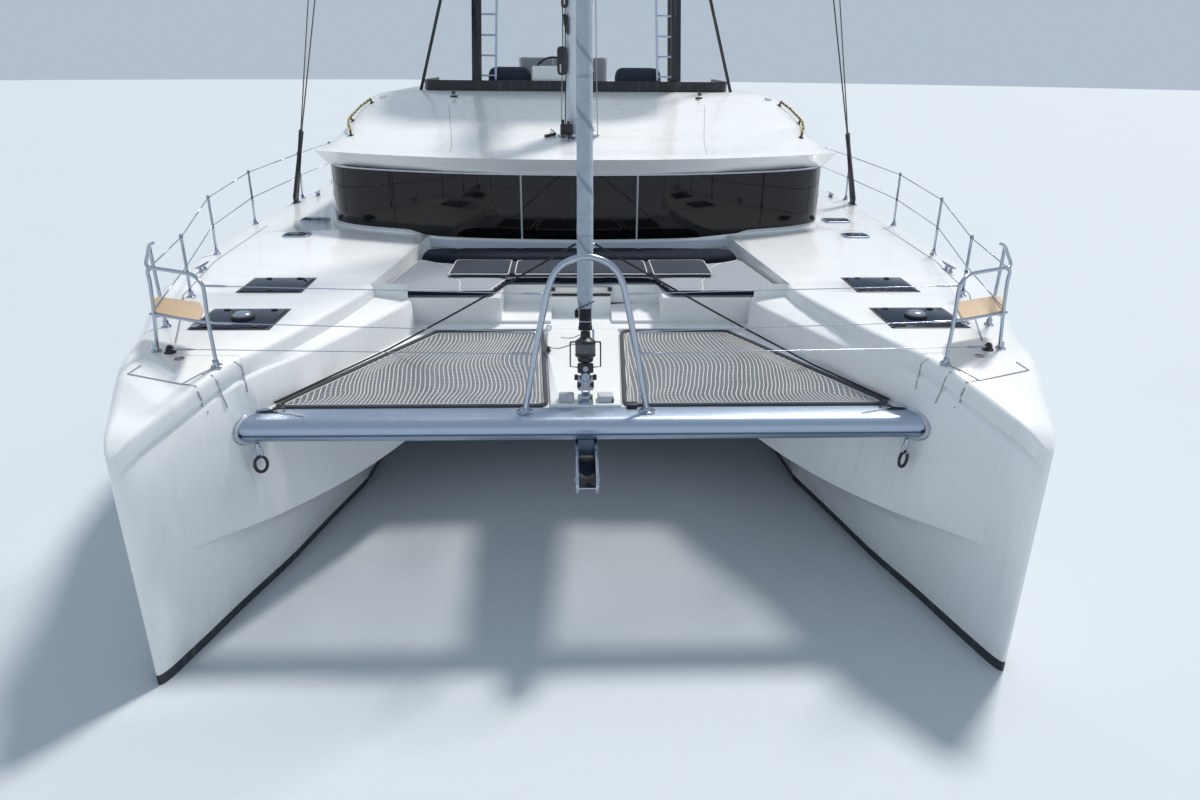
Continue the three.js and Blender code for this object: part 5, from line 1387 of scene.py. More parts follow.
def build_house(sizes):
    wall = WallLine()
    walls = node_mesh("saloon_house")
    for corner in walls.vertices:
        if abs(corner.co.z - LEDGE_Z) < 0.004 and corner.co.y < -1.5:
            corner.co.z -= foot_drop(corner.co.x)
    show("house_walls", walls, "gelcoat", replaces="saloon_house", crease=35, bevel=0.008)

    joint = sizes.joint / 2
    middle, corner, back = wall.at(x=0.65), wall.at(x=2.12), wall.at(y=2.3)
    panes = {"windscreen_middle": (-middle + joint, middle - joint),
             "windscreen_port": (middle + joint, corner - CORNER_GAP),
             "side_window_port": (corner + CORNER_GAP, back),
             "windscreen_starboard": (-corner + CORNER_GAP, -middle - joint),
             "side_window_starboard": (-back, -corner - CORNER_GAP)}
    for node, (start, end) in panes.items():
        form = wall.band(Form(), start, end, *PANE, glass_foot, GLASS_TOP)
        add_piece(f"{node}_glass", form, "house glass", replaces=node, bevel=0.0015)
    dress("aft_window_glass", "aft_window", "house glass", bevel=0.002)

    # The black border printed round each pane
    border = Form()
    wall.band(border, -back, back, 0.0004, 0.0016, GLASS_TOP - sizes.border * 0.6,
              GLASS_TOP - 0.001)
    wall.band(border, -back, back, 0.0004, 0.0016, lambda x: glass_foot(x, 0.001), 2.19)
    for start, end in ((wall.at(x=0.53), wall.at(x=0.80)), (wall.at(x=1.93), wall.at(x=2.25)),
                       (wall.at(x=2.75), wall.at(y=-0.6)), (wall.at(y=0.6), wall.at(y=0.8)),
                       (wall.at(y=2.1), back)):
        for a, b in ((start, end), (-end, -start)):
            wall.band(border, a, b, 0.0005, 0.0018, 2.15, 2.75)
    add_piece("window_border", border, "glass border")

    joints, sill, groove = Form(), Form(), Form()
    for s in (middle, -middle):
        wall.band(joints, s - joint, s + joint, 0.0002, 0.0085, glass_foot, GLASS_TOP)
    add_piece("window_joints", joints, "grey plastic")
    side = wall.at(x=1.90)
    wall.band(sill, -side, side, 0.03, 0.062, *SILL)
    wall.band(groove, -side, side, 0.02, 0.047, 1.930, 1.944)
    add_piece("window_sill", sill, "sill paint", crease=35, bevel=0.008, bevel_steps=3)
    add_piece("sill_joint", groove, "sealant")

    build_door()
    dress("aft_bulkhead_wall", "aft_bulkhead", "gelcoat", crease=35, bevel=0.006)
    dress("galley_units", "galley", "interior", bevel=0.006)
    if sizes.fitted:
        build_worktops()


def build_door():
    low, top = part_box("saloon_door")
    door, wide = Form(), 0.065
    for x0, x1, z0, z1 in ((low.x, top.x, low.z, low.z + 0.11),
                           (low.x, top.x, top.z - wide, top.z),
                           (low.x, low.x + wide, low.z + 0.1, top.z - wide + 0.01),
                           (top.x - wide, top.x, low.z + 0.1, top.z - wide + 0.01)):
        door.box((x0, low.y, z0), (x1, top.y, z1), 0.003, 0.006)
    door.box((low.x + 0.05, low.y + 0.014, low.z + 0.09),
             (top.x - 0.05, low.y + 0.024, top.z - 0.05), 0.001, 0.002, 1)
    handle = [(top.x - 0.035, top.y + out, z)
              for out, z in ((0, 1.85), (0.035, 1.87), (0.035, 2.03), (0, 2.05))]
    door.tube(smooth_path(handle, 6), 0.008, 12, 2)
    add_piece("saloon_door_pane", door, ["black trim", "house glass", "stainless"],
              body="saloon_door", slot="tinted_glass", replaces="saloon_door")


def blocks_of(rows):
    """A form of several boxes, each given as: low, high, edge, corner, mark."""
    form = Form()
    for row in rows:
        form.box(*row)
    return form


def build_worktops():
    """What shows through the front glass: the galley's worktop and the chart table."""
    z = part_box("galley")[1].z
    top = blocks_of([
        ((-2.17, -1.80, z + 0.001), (-0.67, -1.27, z + 0.026), 0.005, 0.03),
        ((-2.745, -1.80, z + 0.001), (-2.12, 1.78, z + 0.025), 0.005, 0.03),
        ((-1.76, -1.70, z + 0.026), (-1.12, -1.38, z + 0.032), 0.002, 0.02, 1),
        ((-2.62, -0.35, z + 0.024), (-2.24, 0.35, z + 0.029), 0.002, 0.05, 2),
        ((-2.59, -0.32, z + 0.027), (-2.27, 0.32, z + 0.031), 0.001, 0.04, 1)])
    for x in (-1.60, -1.28):
        top.lathe([(0.09, 0), (0.09, 0.005), (0.078, 0.005), (0.078, 0)], 28, 2,
                  placed((x, -1.54, z + 0.031)))
    add_piece("galley_worktop", top, ["worktop", "black trim", "stainless"])
    desk = blocks_of([
        ((1.02, -1.78, 1.435), (1.90, -1.32, 1.83), 0.006, 0.03),
        ((0.98, -1.80, 1.83), (1.95, -1.27, 1.858), 0.005, 0.03, 1),
        ((1.16, -1.70, 1.858), (1.72, -1.38, 1.866), 0.002, 0.02, 2),
        ((1.25, -1.74, 1.866), (1.62, -1.72, 2.02), 0.003, 0.006, 2)])
    add_piece("chart_table", desk, ["interior", "worktop", "black trim"])


# Roof

ROOF_SEAM = ((1.70, 0.22), (1.60, -0.5), (1.50, -1.2), (1.44, -1.86))
GRAB_RAIL = ((2.747, -0.889), (2.87, -0.225), (2.716, 0.269))
ROOF_BLOCK = (1.665, 0.535)
ROOF_DOME = (2.60, 0.46)
ABOVE_ROOF = 6.0
MAST_Y = -1.0


def build_roof():
    dress("coachroof_skin", "coachroof", "gelcoat", crease=26, bevel=0.012, bevel_steps=3)
    roof = surface_tree("coachroof")

    def under(x, y):
        return drop(roof, x, y, ABOVE_ROOF)

    def on_roof(x, y, lift=0.0):
        point, normal = under(x, y)
        return point + normal * lift

    def path(points, sign, steps, lift):
        knots = smooth_path([(x, y, 0) for x, y in on_side(points, sign)], steps)
        return [on_roof(p.x, p.y, lift) for p in knots]
    seams, blocks, handles, white = [], Form(), Form(), Form()
    for _, sign in SIDES:
        seams.append(path(ROOF_SEAM, sign, 10, 0.0006))
        # A black handrail on three feet, wound with yellow line
        rail = path(GRAB_RAIL, sign, 8, 0.055)
        ends = smooth_path([(x, y, 0) for x, y in on_side(GRAB_RAIL, sign)], 8)
        for foot in (ends[0], ends[len(ends) // 2], ends[-1]):
            handles.lathe([(0, 0), (0.034, 0), (0.03, 0.008), (0.013, 0.014), (0.012, 0.055),
                           (0, 0.055)], 16, 0, placed(*under(foot.x, foot.y)))
        handles.tube(rail, 0.0125, 12)
        handles.tube([p + Vector((sign * 0.012 * cos(k * 1.9), 0,
                                  0.014 * sin(k * 1.9)))
                      for k, p in enumerate(smooth_path(rail, 3))], 0.009, 8, 1)
        # The turning block at the screen's corner and its padeye
        spot, normal = under(sign * ROOF_BLOCK[0], ROOF_BLOCK[1])
        blocks.slab(oblong((-0.05, -0.03), (0.05, 0.03), 0.02, 3), 0, 0.01, 0.003, 0,
                    placed(spot, normal))
        block(blocks, spot + Vector((0, -0.03, 0.055)), (sign, 0, 0.2), 0.95)
        white.lathe([(0, 0), (0.05, 0), (0.05, 0.018), (0.04, 0.03), (0, 0.036)], 24, 0,
                    placed(*under(sign * ROOF_DOME[0], ROOF_DOME[1])))
    cords("roof_seams", seams, 0.006, "sealant", 6)
    add_piece("roof_handles", handles, ["black trim", "yellow rope"], crease=50)
    add_piece("roof_blocks", blocks, ["black trim", "stainless"])
    add_piece("roof_domes", white, "gelcoat")

    # Mast foot: collar, turning blocks and a rope clutch
    foot = on_roof(0.0, MAST_Y - 0.34).z
    base = Form()
    collar = [(x * 0.26, MAST_Y + y * 0.34) for x, y in circle(1, 36)]
    base.slab(collar, foot - 0.01, foot + 0.045, 0.012, 1)
    for x, y in ((-0.17, -1.33), (-0.10, -1.38), (0.15, -1.36)):
        spot = on_roof(x, y)
        bolt(base, spot, UP, 0.016, 1)
        block(base, spot + UP * 0.05, (1, 0.3, 0), 0.8)
    z = on_roof(-0.14, -1.24).z
    base.box((-0.215, -1.29, z - 0.01), (-0.07, -1.19, z + 0.115), 0.012, 0.025)
    base.box((-0.205, -1.27, z + 0.10), (-0.165, -1.21, z + 0.165), 0.008, 0.02)
    base.box((-0.135, -1.27, z + 0.10), (-0.105, -1.21, z + 0.15), 0.008, 0.02)
    # A winch handle left lying by the mast
    near, far = on_roof(-0.40, -1.22, 0.022), on_roof(-0.27, -1.08, 0.022)
    base.tube([near.lerp(far, t) for t in (0, 0.08, 0.5, 0.92, 1)],
              [0.012, 0.019, 0.0185, 0.019, 0.012], 16)
    base.tube([far, on_roof(-0.30, -0.98, 0.03), on_roof(-0.33, -0.88, 0.02)], 0.010, 10, 1)
    add_piece("mast_foot_blocks", base, ["black trim", "stainless"], slot="stainless")


# Flybridge

WHEEL = Vector((-0.34, 1.70, 3.70))
RUNG_X, RUNG_TOP = 1.262, 5.4           # the rungs lie inside this, and spread lower down


def build_wheel():
    wheel = Form()
    for x, z in circle(1, 5, pi / 2):
        out = Vector((x, 0, z))
        wheel.tube([WHEEL + out * 0.03, WHEEL + out * 0.15 + Vector((0, 0.012, 0)),
                    WHEEL + out * 0.282], [0.011, 0.008, 0.009], 10, 1)
    wheel.tube([WHEEL + Vector((x, 0, z)) for x, z in circle(0.283, 48)], 0.0145, 14,
               closed=True)
    wheel.lathe([(0, -0.03), (0.035, -0.03), (0.045, -0.012), (0.045, 0.02), (0.02, 0.034),
                 (0, 0.036)], 28, 1, placed(WHEEL, (0, 1, 0)))
    add_piece("steering_wheel_rim", wheel, ["rubber", "stainless"], body="steering_wheel",
              slot="black_trim", replaces="steering_wheel")


def build_console():
    low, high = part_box("helm_console")
    profile = rounded([(1.09, 3.06), (1.60, 3.06), (1.60, 3.56), (1.42, 3.868), (1.18, 3.868),
                       (1.09, 3.70)], 0.03, 4)
    console = Form().loft([[(x, y, z) for y, z in inset(profile, away)] for x, away in (
        (low.x, 0.012), (low.x + 0.012, 0), (high.x - 0.012, 0), (high.x, 0.012))])
    slope = Matrix.Translation((low.x + 0.27, 1.51, 3.714)) @ Matrix.Rotation(
        radians(-59.7), 4, "X")
    console.box((-0.22, -0.115, -0.002), (0.02, 0.115, 0.008), 0.003, 0.012, 1, slope)
    console.box((0.05, -0.05, -0.002), (0.22, 0.115, 0.007), 0.003, 0.012, 1, slope)
    for k in range(4):
        console.lathe([(0, 0), (0.014, 0), (0.014, 0.006), (0, 0.007)], 16, 2,
                      slope @ placed((0.07 + 0.04 * k, -0.085, 0)))
    console.lathe([(0, 0), (0.055, 0), (0.055, 0.03), (0.03, 0.06), (0, 0.062)], 24, 1,
                  placed((high.x - 0.12, 1.30, 3.868)))
    add_piece("helm_console_body", console, ["gelcoat", "glass border", "stainless"],
              slot="grey_plastic", replaces="helm_console", crease=35)


def build_flybridge(sizes):
    dress("flybridge_screen_skin", "flybridge_screen", "black trim", bevel=0.01, bevel_steps=3)
    dress("hardtop_skin", "hardtop", "gelcoat", bevel=0.01, bevel_steps=3)
    build_console()
    build_wheel()
    for side, _ in SIDES:
        node = f"hardtop_frame_{side}"
        piece = dress(f"{node}_posts", node, ["black trim", "aluminium"], crease=50,
                      bevel=0.006)
        for face in piece.data.polygons:
            # The ladders' rungs are bare metal
            spot = face.center
            rung = abs(spot.x) < RUNG_X + 0.02 * (RUNG_TOP - spot.z) and spot.y < 1.2
            face.material_index = int(rung)
        node = f"flybridge_seat_{side}"
        low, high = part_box(node)
        base = Form().box((low.x + 0.03, low.y + 0.02, low.z),
                          (high.x - 0.03, high.y - 0.02, low.z + 0.36), 0.02, 0.05)
        add_piece(f"{node}_base", base, "gelcoat", crease=35)
        cover = Form().slab(oblong(low, high, 0.07, 5, 0.012), low.z + 0.34, high.z - 0.012,
                            0.05, steps=4, both=True)
        pad(f"{node}_cover", cover, "canvas", sizes, 0.5, 0.012, replaces=node)
    low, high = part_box("helm_seat")
    seat = Form().slab(oblong(low, (high.x, 2.74), 0.06, 4, 0.01), 3.34, 3.442, 0.03, both=True)
    edge = rounded([(low.x + 0.02, low.y + 0.02), (high.x - 0.02, low.y + 0.02),
                    (high.x - 0.02, 2.725), (low.x + 0.02, 2.725)], 0.06)
    pad("helm_seat_cushion", seat, "light cushion", sizes, 0.7, 0.01, [edge], 3.44,
        replaces="helm_seat")
    back = Form().box((low.x + 0.01, 2.755, 3.47), (high.x - 0.01, 2.838, high.z - 0.01), 0.03,
                      0.035)
    pad("helm_seat_back", back, "light cushion", sizes, 0.7, 0.01)
    locker = Form().box((low.x + 0.02, low.y + 0.02, low.z), (high.x - 0.02, high.y - 0.02,
                                                              3.335), 0.012, 0.04)
    locker.box((low.x, 2.835, 3.3), (high.x, high.y, high.z - 0.02), 0.004, 0.006)
    add_piece("helm_seat_locker", locker, "gelcoat", crease=35)


# Cushions

FRONT_PAD = ((0.70, -3.515), (0.84, -4.01), (1.90, -4.01), (1.74, -2.665), (1.55, -2.81),
             (1.345, -2.88))
FRONT_SEAMS = (((1.235, -3.52), (1.163, -3.721)), ((1.163, -3.721), (1.138, -3.99)),
               ((1.495, -2.87), (1.318, -3.178)), ((1.318, -3.178), (1.235, -3.52)),
               ((0.70, -3.50), (1.235, -3.52)))
BACK_PAD = ((0.0, -2.89), (0.65, -2.89), (1.335, -2.87), (1.535, -2.80), (1.725, -2.655),
            (1.70, -2.385), (1.0, -2.32), (0.0, -2.29))
MIDDLE_CELLS = ((-1.31, -0.696), (-0.660, 0.660), (0.696, 1.31))
STUFFING_FRAMES = 20


def whole_outline(half):
    """Both sides of an outline given for the port side, its centre points left out."""
    port = [p for p in half if p[0] > 0]
    return on_side(port[::-1], -1) + port


def stuffed(form, name, sizes, swell):
    """A cushion's mesh after its stuffing has pushed at the cloth."""
    mesh = mesh_of(form, name)
    scene = bpy.context.scene
    piece = bpy.data.objects.new(f"{name}_cloth", mesh)
    scene.collection.objects.link(piece)
    grid = piece.modifiers.new("Grid", "REMESH")
    grid.mode, grid.voxel_size, grid.use_smooth_shade = "VOXEL", sizes.voxel, True
    shaped = bpy.data.meshes.new_from_object(
        piece.evaluated_get(bpy.context.evaluated_depsgraph_get()))
    piece.modifiers.clear()
    piece.data = shaped
    rest = [v.co.copy() for v in shaped.vertices]
    cloth = piece.modifiers.new("Cloth", "CLOTH")
    cloth.settings.quality = 5
    cloth.settings.use_pressure = True
    cloth.settings.uniform_pressure_force = 4.0
    cloth.settings.effector_weights.gravity = 0.0
    cloth.collision_settings.use_collision = False
    cloth.point_cache.frame_start, cloth.point_cache.frame_end = 1, STUFFING_FRAMES
    scene.frame_start, scene.frame_end = 1, STUFFING_FRAMES
    for number in range(1, STUFFING_FRAMES + 1):
        scene.frame_set(number)
    blown = piece.evaluated_get(bpy.context.evaluated_depsgraph_get()).data
    low = min(v.z for v in rest)
    for corner, start, seen in zip(shaped.vertices, rest, blown.vertices):
        push = seen.co - start
        if push.length > swell:
            push = push.normalized() * swell
        corner.co = start + push
        corner.co.z = max(corner.co.z, low)
    bpy.data.objects.remove(piece)
    scene.frame_set(1)
    shaped.name = name
    return shaped


def seamed(mesh, lines, deep=0.010, wide=0.028):
    """Draws a cushion's top in along its sewn seams."""
    for corner in mesh.vertices:
        for a, b in lines:
            a, b, spot = Vector(a), Vector(b), Vector(corner.co[:2])
            share = min(max((spot - a).dot(b - a) / (b - a).length_squared, 0), 1)
            away = (spot - a.lerp(b, share)).length
            if away < wide * 2 and corner.normal.z > 0.3:
                corner.co.z -= deep * exp(-(away / wide) ** 2 * 2)
    return mesh


def pad(name, form, finish, sizes, fill=0.7, swell=None, edges=(), top=None, lines=(),
        trim=None, **how):
    """One cushion with its seams, and piping round its upper edges where they are given."""
    swell = sizes.swell if swell is None else swell
    mesh = seamed(stuffed(form, name, sizes, swell), lines)
    piece = show(name, mesh, finish, crease=60, subdivide=1, **how)
    if top is not None:
        tree = search_tree(mesh)
        paths = [clung(tree, [(x, y, top) for x, y in path], sizes.piping * 0.12, 0.025)
                 for path in [[*edge, edge[0]] for edge in edges] + list(lines)]
        cords(trim or f"{name}_piping", paths, sizes.piping, "piping", slot=SLOTS[finish])
    return piece


def build_cushions(sizes):
    low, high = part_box("sunpad_front")
    outline = rounded(whole_outline(FRONT_PAD), 0.05)
    front = Form().slab(inset(outline, 0.010), low.z + 0.001, high.z - 0.006, 0.022, both=True)
    lines = [on_side(line, sign) for sign in (1, -1) for line in FRONT_SEAMS]
    piece = pad("sunpad_front_cloth", front, "light cushion", sizes, 0.7, None,
                [inset(outline, 0.014)], high.z - 0.004, lines, replaces="sunpad_front")
    piece.data.materials.append(FINISHES["dark cushion"])
    for face in piece.data.polygons:
        face.material_index = int(abs(face.normal.z) < 0.62)

    low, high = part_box("sunpad_middle")
    middle, edges = Form(), []
    for x0, x1 in MIDDLE_CELLS:
        cell = oblong((x0, -3.59), (x1, -2.93), 0.035)
        middle.slab(inset(cell, 0.008), low.z + 0.001, high.z - 0.006, 0.018, both=True)
        edges.append(inset(cell, 0.012))
    pad("sunpad_middle_cloth", middle, "middle cushion", sizes, 0.6, sizes.swell * 0.8, edges,
        high.z - 0.004, trim="sunpad_middle_piping", replaces="sunpad_middle")

    low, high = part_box("sunpad_back")
    back = Form().slab(inset(rounded(whole_outline(BACK_PAD), 0.05), 0.012), low.z + 0.001,
                       high.z - 0.008, 0.035, steps=4, both=True)
    lines = [((x, -2.885), (x * 1.01, -2.30)) for x in (-0.65, 0.65)]
    lines += [((x, -2.87), (x * 0.99, -2.34)) for x in (-1.35, 1.35)]
    pad("sunpad_back_cloth", back, "dark cushion", sizes, lines=lines, replaces="sunpad_back")


# Hatches

VENT_FOOT = ((0, 0), (0.088, 0), (0.092, 0.006), (0.088, 0.024), (0.07, 0.03), (0, 0.03))
VENT_CAP = ((0, 0.029), (0.072, 0.029), (0.068, 0.038), (0.05, 0.047), (0.02, 0.052),
            (0, 0.053))


def build_hatches():
    for number in (1, 2):
        for side, sign in SIDES:
            node = f"hatch_{number}_{side}"
            low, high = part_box(node)
            middle = (low + high) / 2
            lid = Form()
            outline = oblong(low, high, 0.05, 5)
            lid.slab(outline, low.z, high.z - 0.006, 0.006)
            lid.slab(inset(outline, 0.022), high.z - 0.010, high.z, 0.003, 1)
            if number == 1:
                vent = placed((middle.x - sign * 0.02, middle.y, high.z - 0.001))
                lid.lathe(VENT_FOOT, 32, 2, vent)
                lid.lathe(VENT_CAP, 32, 3, vent)
                latches = [(middle.x + x, y) for x in (-0.19, 0.19)
                           for y in (low.y + 0.05, high.y - 0.05)]
            else:
                latches = [(middle.x - 0.14, high.y - 0.045), (middle.x + 0.14, high.y - 0.045),
                           (middle.x, low.y + 0.045)]
            for x, y in latches:
                lid.box((x - 0.024, y - 0.014, high.z - 0.003),
                        (x + 0.024, y + 0.014, high.z + 0.008), 0.003, 0.01, 2)
            add_piece(f"{node}_lid", lid, ["black trim", "hatch glass", "rubber", "stainless"],
                      body=node, slot="tinted_glass", replaces=node)
            around = oblong(low, high, 0.07, 5, -0.022)
            path = clung(surface_tree(f"hull_{side}"),
                         [(x, y, low.z) for x, y in around + around[:1]], 0.001, 0.05)
            seal = Form().tube(path[:-1], 0.009, 8, closed=True)
            add_piece(f"{node}_seal", seal, "aluminium", crease=180)


# Rails

STANCHIONS = (-4.5, -2.9, -1.3, 0.7, 2.3, 3.9, 5.3)
STOOD_IN = {-4.5: (0.25, 0.09), -2.9: (0.11, 0.03)}   # inboard, and lower at the head
PULPIT = ((3.03, -5.935, 2.0), (2.985, -5.965, 2.31), (2.962, -5.985, 2.537),
          (2.957, -6.0, 2.61), (2.93, -6.015, 2.648), (2.828, -6.07, 2.652),
          (2.60, -6.225, 2.662), (2.53, -6.275, 2.655), (2.482, -6.31, 2.622),
          (2.470, -6.31, 2.57), (2.501, -6.25, 2.351), (2.52, -6.19, 2.0))
PULPIT_AFT = -5.9
SOLID_CORNER_X = 3.027                  # where the solid rail turns at the bow
LOW_CORNER_X = 2.98
AT_POST = 0.03
PULPIT_POST = (3.21, -5.36)
PULPIT_ARM = ((2.93, -6.01, 2.64), (2.985, -5.94, 2.66), (3.10, -5.66, 2.665),
              (3.225, -5.36, 2.662), (3.27, -5.20, 2.65))
SEAT = ((2.60, -6.165), (2.99, -5.94), (3.10, -5.74), (3.17, -5.51), (2.78, -5.69),
        (2.69, -5.86))
SEAT_Z = 2.30
WIRES = (((2.475, -6.31, 2.60), (0.29, -6.06, 2.478)),
         ((2.50, -6.25, 2.335), (0.355, -6.06, 2.206)),
         ((2.89, -6.0, 2.068), (0.38, -6.06, 2.045)))


def stood_in_rail(side, sign):
    """A rail's mesh without its old pulpit, its first stanchions moved inboard."""
    mesh = node_mesh(f"rail_{side}")
    work = bmesh.new()
    work.from_mesh(mesh)
    old = [f for f in work.faces if all(v.co.y < PULPIT_AFT for v in f.verts)]
    bmesh.ops.delete(work, geom=old, context="FACES")
    for v in work.verts:
        if v.co.y < PULPIT_AFT:
            corner = PULPIT[3][0] if v.co.z > 2.5 else LOW_CORNER_X
            v.co.x = sign * (abs(v.co.x) - SOLID_CORNER_X + corner)
        for y, (inboard, lower) in STOOD_IN.items():
            if abs(v.co.y - y) < AT_POST:
                v.co.x -= sign * inboard
                v.co.z -= lower * min(max((v.co.z - 2.1) / 0.5, 0), 1)
    work.to_mesh(mesh)
    work.free()
    return mesh


def build_rails(sizes):
    for side, sign in SIDES:
        mesh = stood_in_rail(side, sign)
        show(f"rail_tubes_{side}", mesh, "stainless", replaces=f"rail_{side}", crease=60)
        corners = np.array([v.co for v in mesh.vertices])
        deck = surface_tree(f"hull_{side}")
        loop, feet, caps = Form(), Form(), Form()
        loop.tube(smooth_path(on_side(PULPIT, sign), 6), sizes.tube / 2, 16)
        loop.tube(on_side([(3.02, -5.945, 2.308), (2.985, -5.967, 2.31),
                           (2.505, -6.255, 2.338)], sign), 0.010, 12)
        x, y = PULPIT_POST
        foot = drop(deck, sign * x, y)[0]
        head = sign * (x + 0.015)
        loop.tube([foot, (head, y, 2.60), (head, y, 2.652)], sizes.tube / 2, 14)
        loop.tube(smooth_path(on_side(PULPIT_ARM, sign), 6), sizes.tube / 2, 14)
        add_piece(f"pulpit_{side}", loop, "stainless", crease=60)
        spots = on_side([(3.03, -5.935), (2.52, -6.19), PULPIT_POST], sign)
        for y in STANCHIONS:
            near = corners[abs(corners[:, 1] - y) < AT_POST]
            x = near[near[:, 2] < near[:, 2].min() + 0.03].mean(0)[0]
            head = near[:, 2].max()
            spots.append((x, y))
            caps.lathe([(0, 0), (0.017, 0), (0.017, 0.01), (0.01, 0.018), (0, 0.019)], 14, 0,
                       placed((x, y, head - 0.008)))
            for wire in (0.605, 0.31):
                caps.pin(0.011, -0.014, 0.014, 12, 1,
                         placed((x, y, head - 0.62 + wire), (0, 1, 0)))
        for x, y in spots:
            spot, normal = drop(deck, x, y)
            feet.lathe([(0, 0), (sizes.foot / 2, 0), (sizes.foot / 2, 0.006), (0.024, 0.012),
                        (0.021, 0.05), (0, 0.05)], 24, 0, placed(spot, normal))
            for around in circle(0.029, 3, 0.4):
                bolt(feet, spot + Vector((*around, 0.006)), normal, 0.004)
        add_piece(f"rail_feet_{side}", feet, "stainless")
        add_piece(f"rail_caps_{side}", caps, ["stainless", "rubber"])

        outline = rounded(on_side(SEAT, sign)[::sign], 0.035)
        board = Form().slab(outline, SEAT_Z, SEAT_Z + 0.022, 0.008, both=True)
        add_piece(f"bow_seat_board_{side}", board, "seat wood", replaces=f"bow_seat_{side}")
        clips = Form()
        for x, y in on_side([(2.97, -5.955), (2.63, -6.165)], sign):
            clips.box((x - 0.02, y - 0.022, SEAT_Z - 0.012), (x + 0.02, y + 0.03, SEAT_Z + 0.002),
                      0.004, 0.008)
        add_piece(f"bow_seat_clips_{side}", clips, "stainless")

        wires = Form()
        for pair in WIRES:
            start, end = (Vector(p) for p in on_side(pair, sign))
            wires.tube([start, end], sizes.wire / 2 * 0.7, 8)
            for spot, toward in ((start, end), (end, start)):
                along = (toward - spot).normalized()
                wires.tube([spot + along * t for t in (0, 0.03, 0.12, 0.16)],
                           [0.004, 0.008, 0.008, 0.004])
        add_piece(f"bow_wires_{side}", wires, "stainless", crease=60)


# Rig

def build_mast(sizes):
    dress("mast_tube", "mast", "spar paint", bevel=0.004)
    fittings, track, lines = Form(), Form(), Form()
    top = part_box("mast")[1].z
    track.box((-0.022, MAST_Y + 0.222, 5.6), (0.022, MAST_Y + 0.245, top - 0.4), 0.004, 0.008)
    add_piece("mast_track", track, "aluminium")
    # A bracket between two large blocks on the starboard side of the mast
    front = MAST_Y - 0.13
    for x0, x1, z0, z1 in ((-0.195, -0.118, 4.505, 4.80), (-0.245, -0.13, 3.79, 4.10)):
        cheek = oblong((x0, z0), (x1, z1), 0.05, 6)
        for y in (-0.045, 0.0, 0.045):
            fittings.loft([[(x, front + y + d, z) for x, z in inset(cheek, away)]
                           for d, away in ((-0.010, 0.006), (-0.006, 0), (0.006, 0),
                                           (0.010, 0.006))])
        for y in (-0.022, 0.022):
            fittings.lathe([(0, -0.011), (0.036, -0.011), (0.028, 0), (0.036, 0.011),
                            (0, 0.011)], 24, 1,
                           placed(((x0 + x1) / 2, front + y, z0 + 0.075), (0, 1, 0)))
        fittings.box((x0 + 0.03, front - 0.058, z0 + 0.03),
                     (x0 + 0.045, front - 0.052, z0 + 0.12), 0.002, 0.005, 1)
    bracket = rounded([(-0.173, 4.44), (-0.14, 4.44), (-0.125, 4.41), (-0.12, 4.38),
                       (-0.155, 4.29), (-0.168, 4.34)], 0.01, 2)
    wedge = [(-0.135, 4.40), (-0.118, 4.41), (-0.118, 4.22), (-0.148, 4.25)]
    for outline, ahead, behind in ((bracket, 0.03, 0.03), (wedge, 0.06, 0.02)):
        fittings.loft([[(x, y, z) for x, z in outline] for y in (front - ahead, front + behind)])
    fittings.box((0.148, MAST_Y - 0.17, 3.60), (0.178, MAST_Y - 0.13, 3.83), 0.004, 0.008)
    fittings.box((0.146, MAST_Y - 0.18, 3.52), (0.174, MAST_Y - 0.12, 3.57), 0.004, 0.01, 2)
    for k in range(4):
        bolt(fittings, (-0.10 + 0.066 * k, MAST_Y - 0.226, 3.30), (0, -1, 0), 0.008, 2)
    add_piece("mast_fittings", fittings, ["black trim", "white rope", "stainless"])

    for k in range(sizes.halyards):
        x = -0.158 - 0.016 * k
        lines.tube([(x, front, z) for z in (top - 0.9, 9.0, 4.72)], 0.005, 8, k % 2)
    for x in (-0.178, -0.150):
        lines.tube([(x, front, 4.56), (x, front, 4.06)], 0.006, 8)
    for x, tone in ((-0.198, 1), (-0.152, 0)):
        lines.tube([(x + 0.01, front, 3.84), (x, front - 0.02, 3.5),
                    (x - 0.002, front - 0.09, 3.22)], 0.0058, 8, tone)
    lines.tube([(0.165, MAST_Y - 0.15, top - 0.9), (0.17, MAST_Y - 0.15, 6.0),
                (0.215, MAST_Y - 0.17, 3.60), (0.227, MAST_Y - 0.18, 3.13)], 0.0055, 8, 1)
    add_piece("halyards", lines, ["dark rope", "grey rope"], crease=180)


BAG_ROWS = (
    # y, half width, foot, top
    (-0.25, 0.12, 6.04, 6.62), (0.2, 0.19, 6.04, 6.68), (1.3, 0.205, 6.04, 6.60),
    (2.5, 0.20, 6.04, 6.52), (3.7, 0.185, 6.04, 6.42), (4.7, 0.16, 6.04, 6.33),
    (5.4, 0.11, 6.04, 6.22))
BAG_SECTION = ((0.0, 0.0), (0.55, 0.0), (0.88, 0.10), (1.0, 0.32), (0.96, 0.55), (0.74, 0.80),
               (0.36, 0.95), (0.05, 1.0))
BAG_HUNG = (0.2, 1.5, 2.8, 4.1, 5.2)    # where lines hold it up
BAG_LOOPS = 0.58                        # the loops' share of the bag's height


def bag_at(y):
    """The bag's half width, foot and top at a place along the boom."""
    return [float(np.interp(y, [r[0] for r in BAG_ROWS], [r[k] for r in BAG_ROWS]))
            for k in (1, 2, 3)]


def bag_sag(y):
    """How far the bag's upper edge hangs between the lines that hold it."""
    return 0.030 * min(min(abs(y - hung) for hung in BAG_HUNG) / 0.65, 1.0) ** 1.5


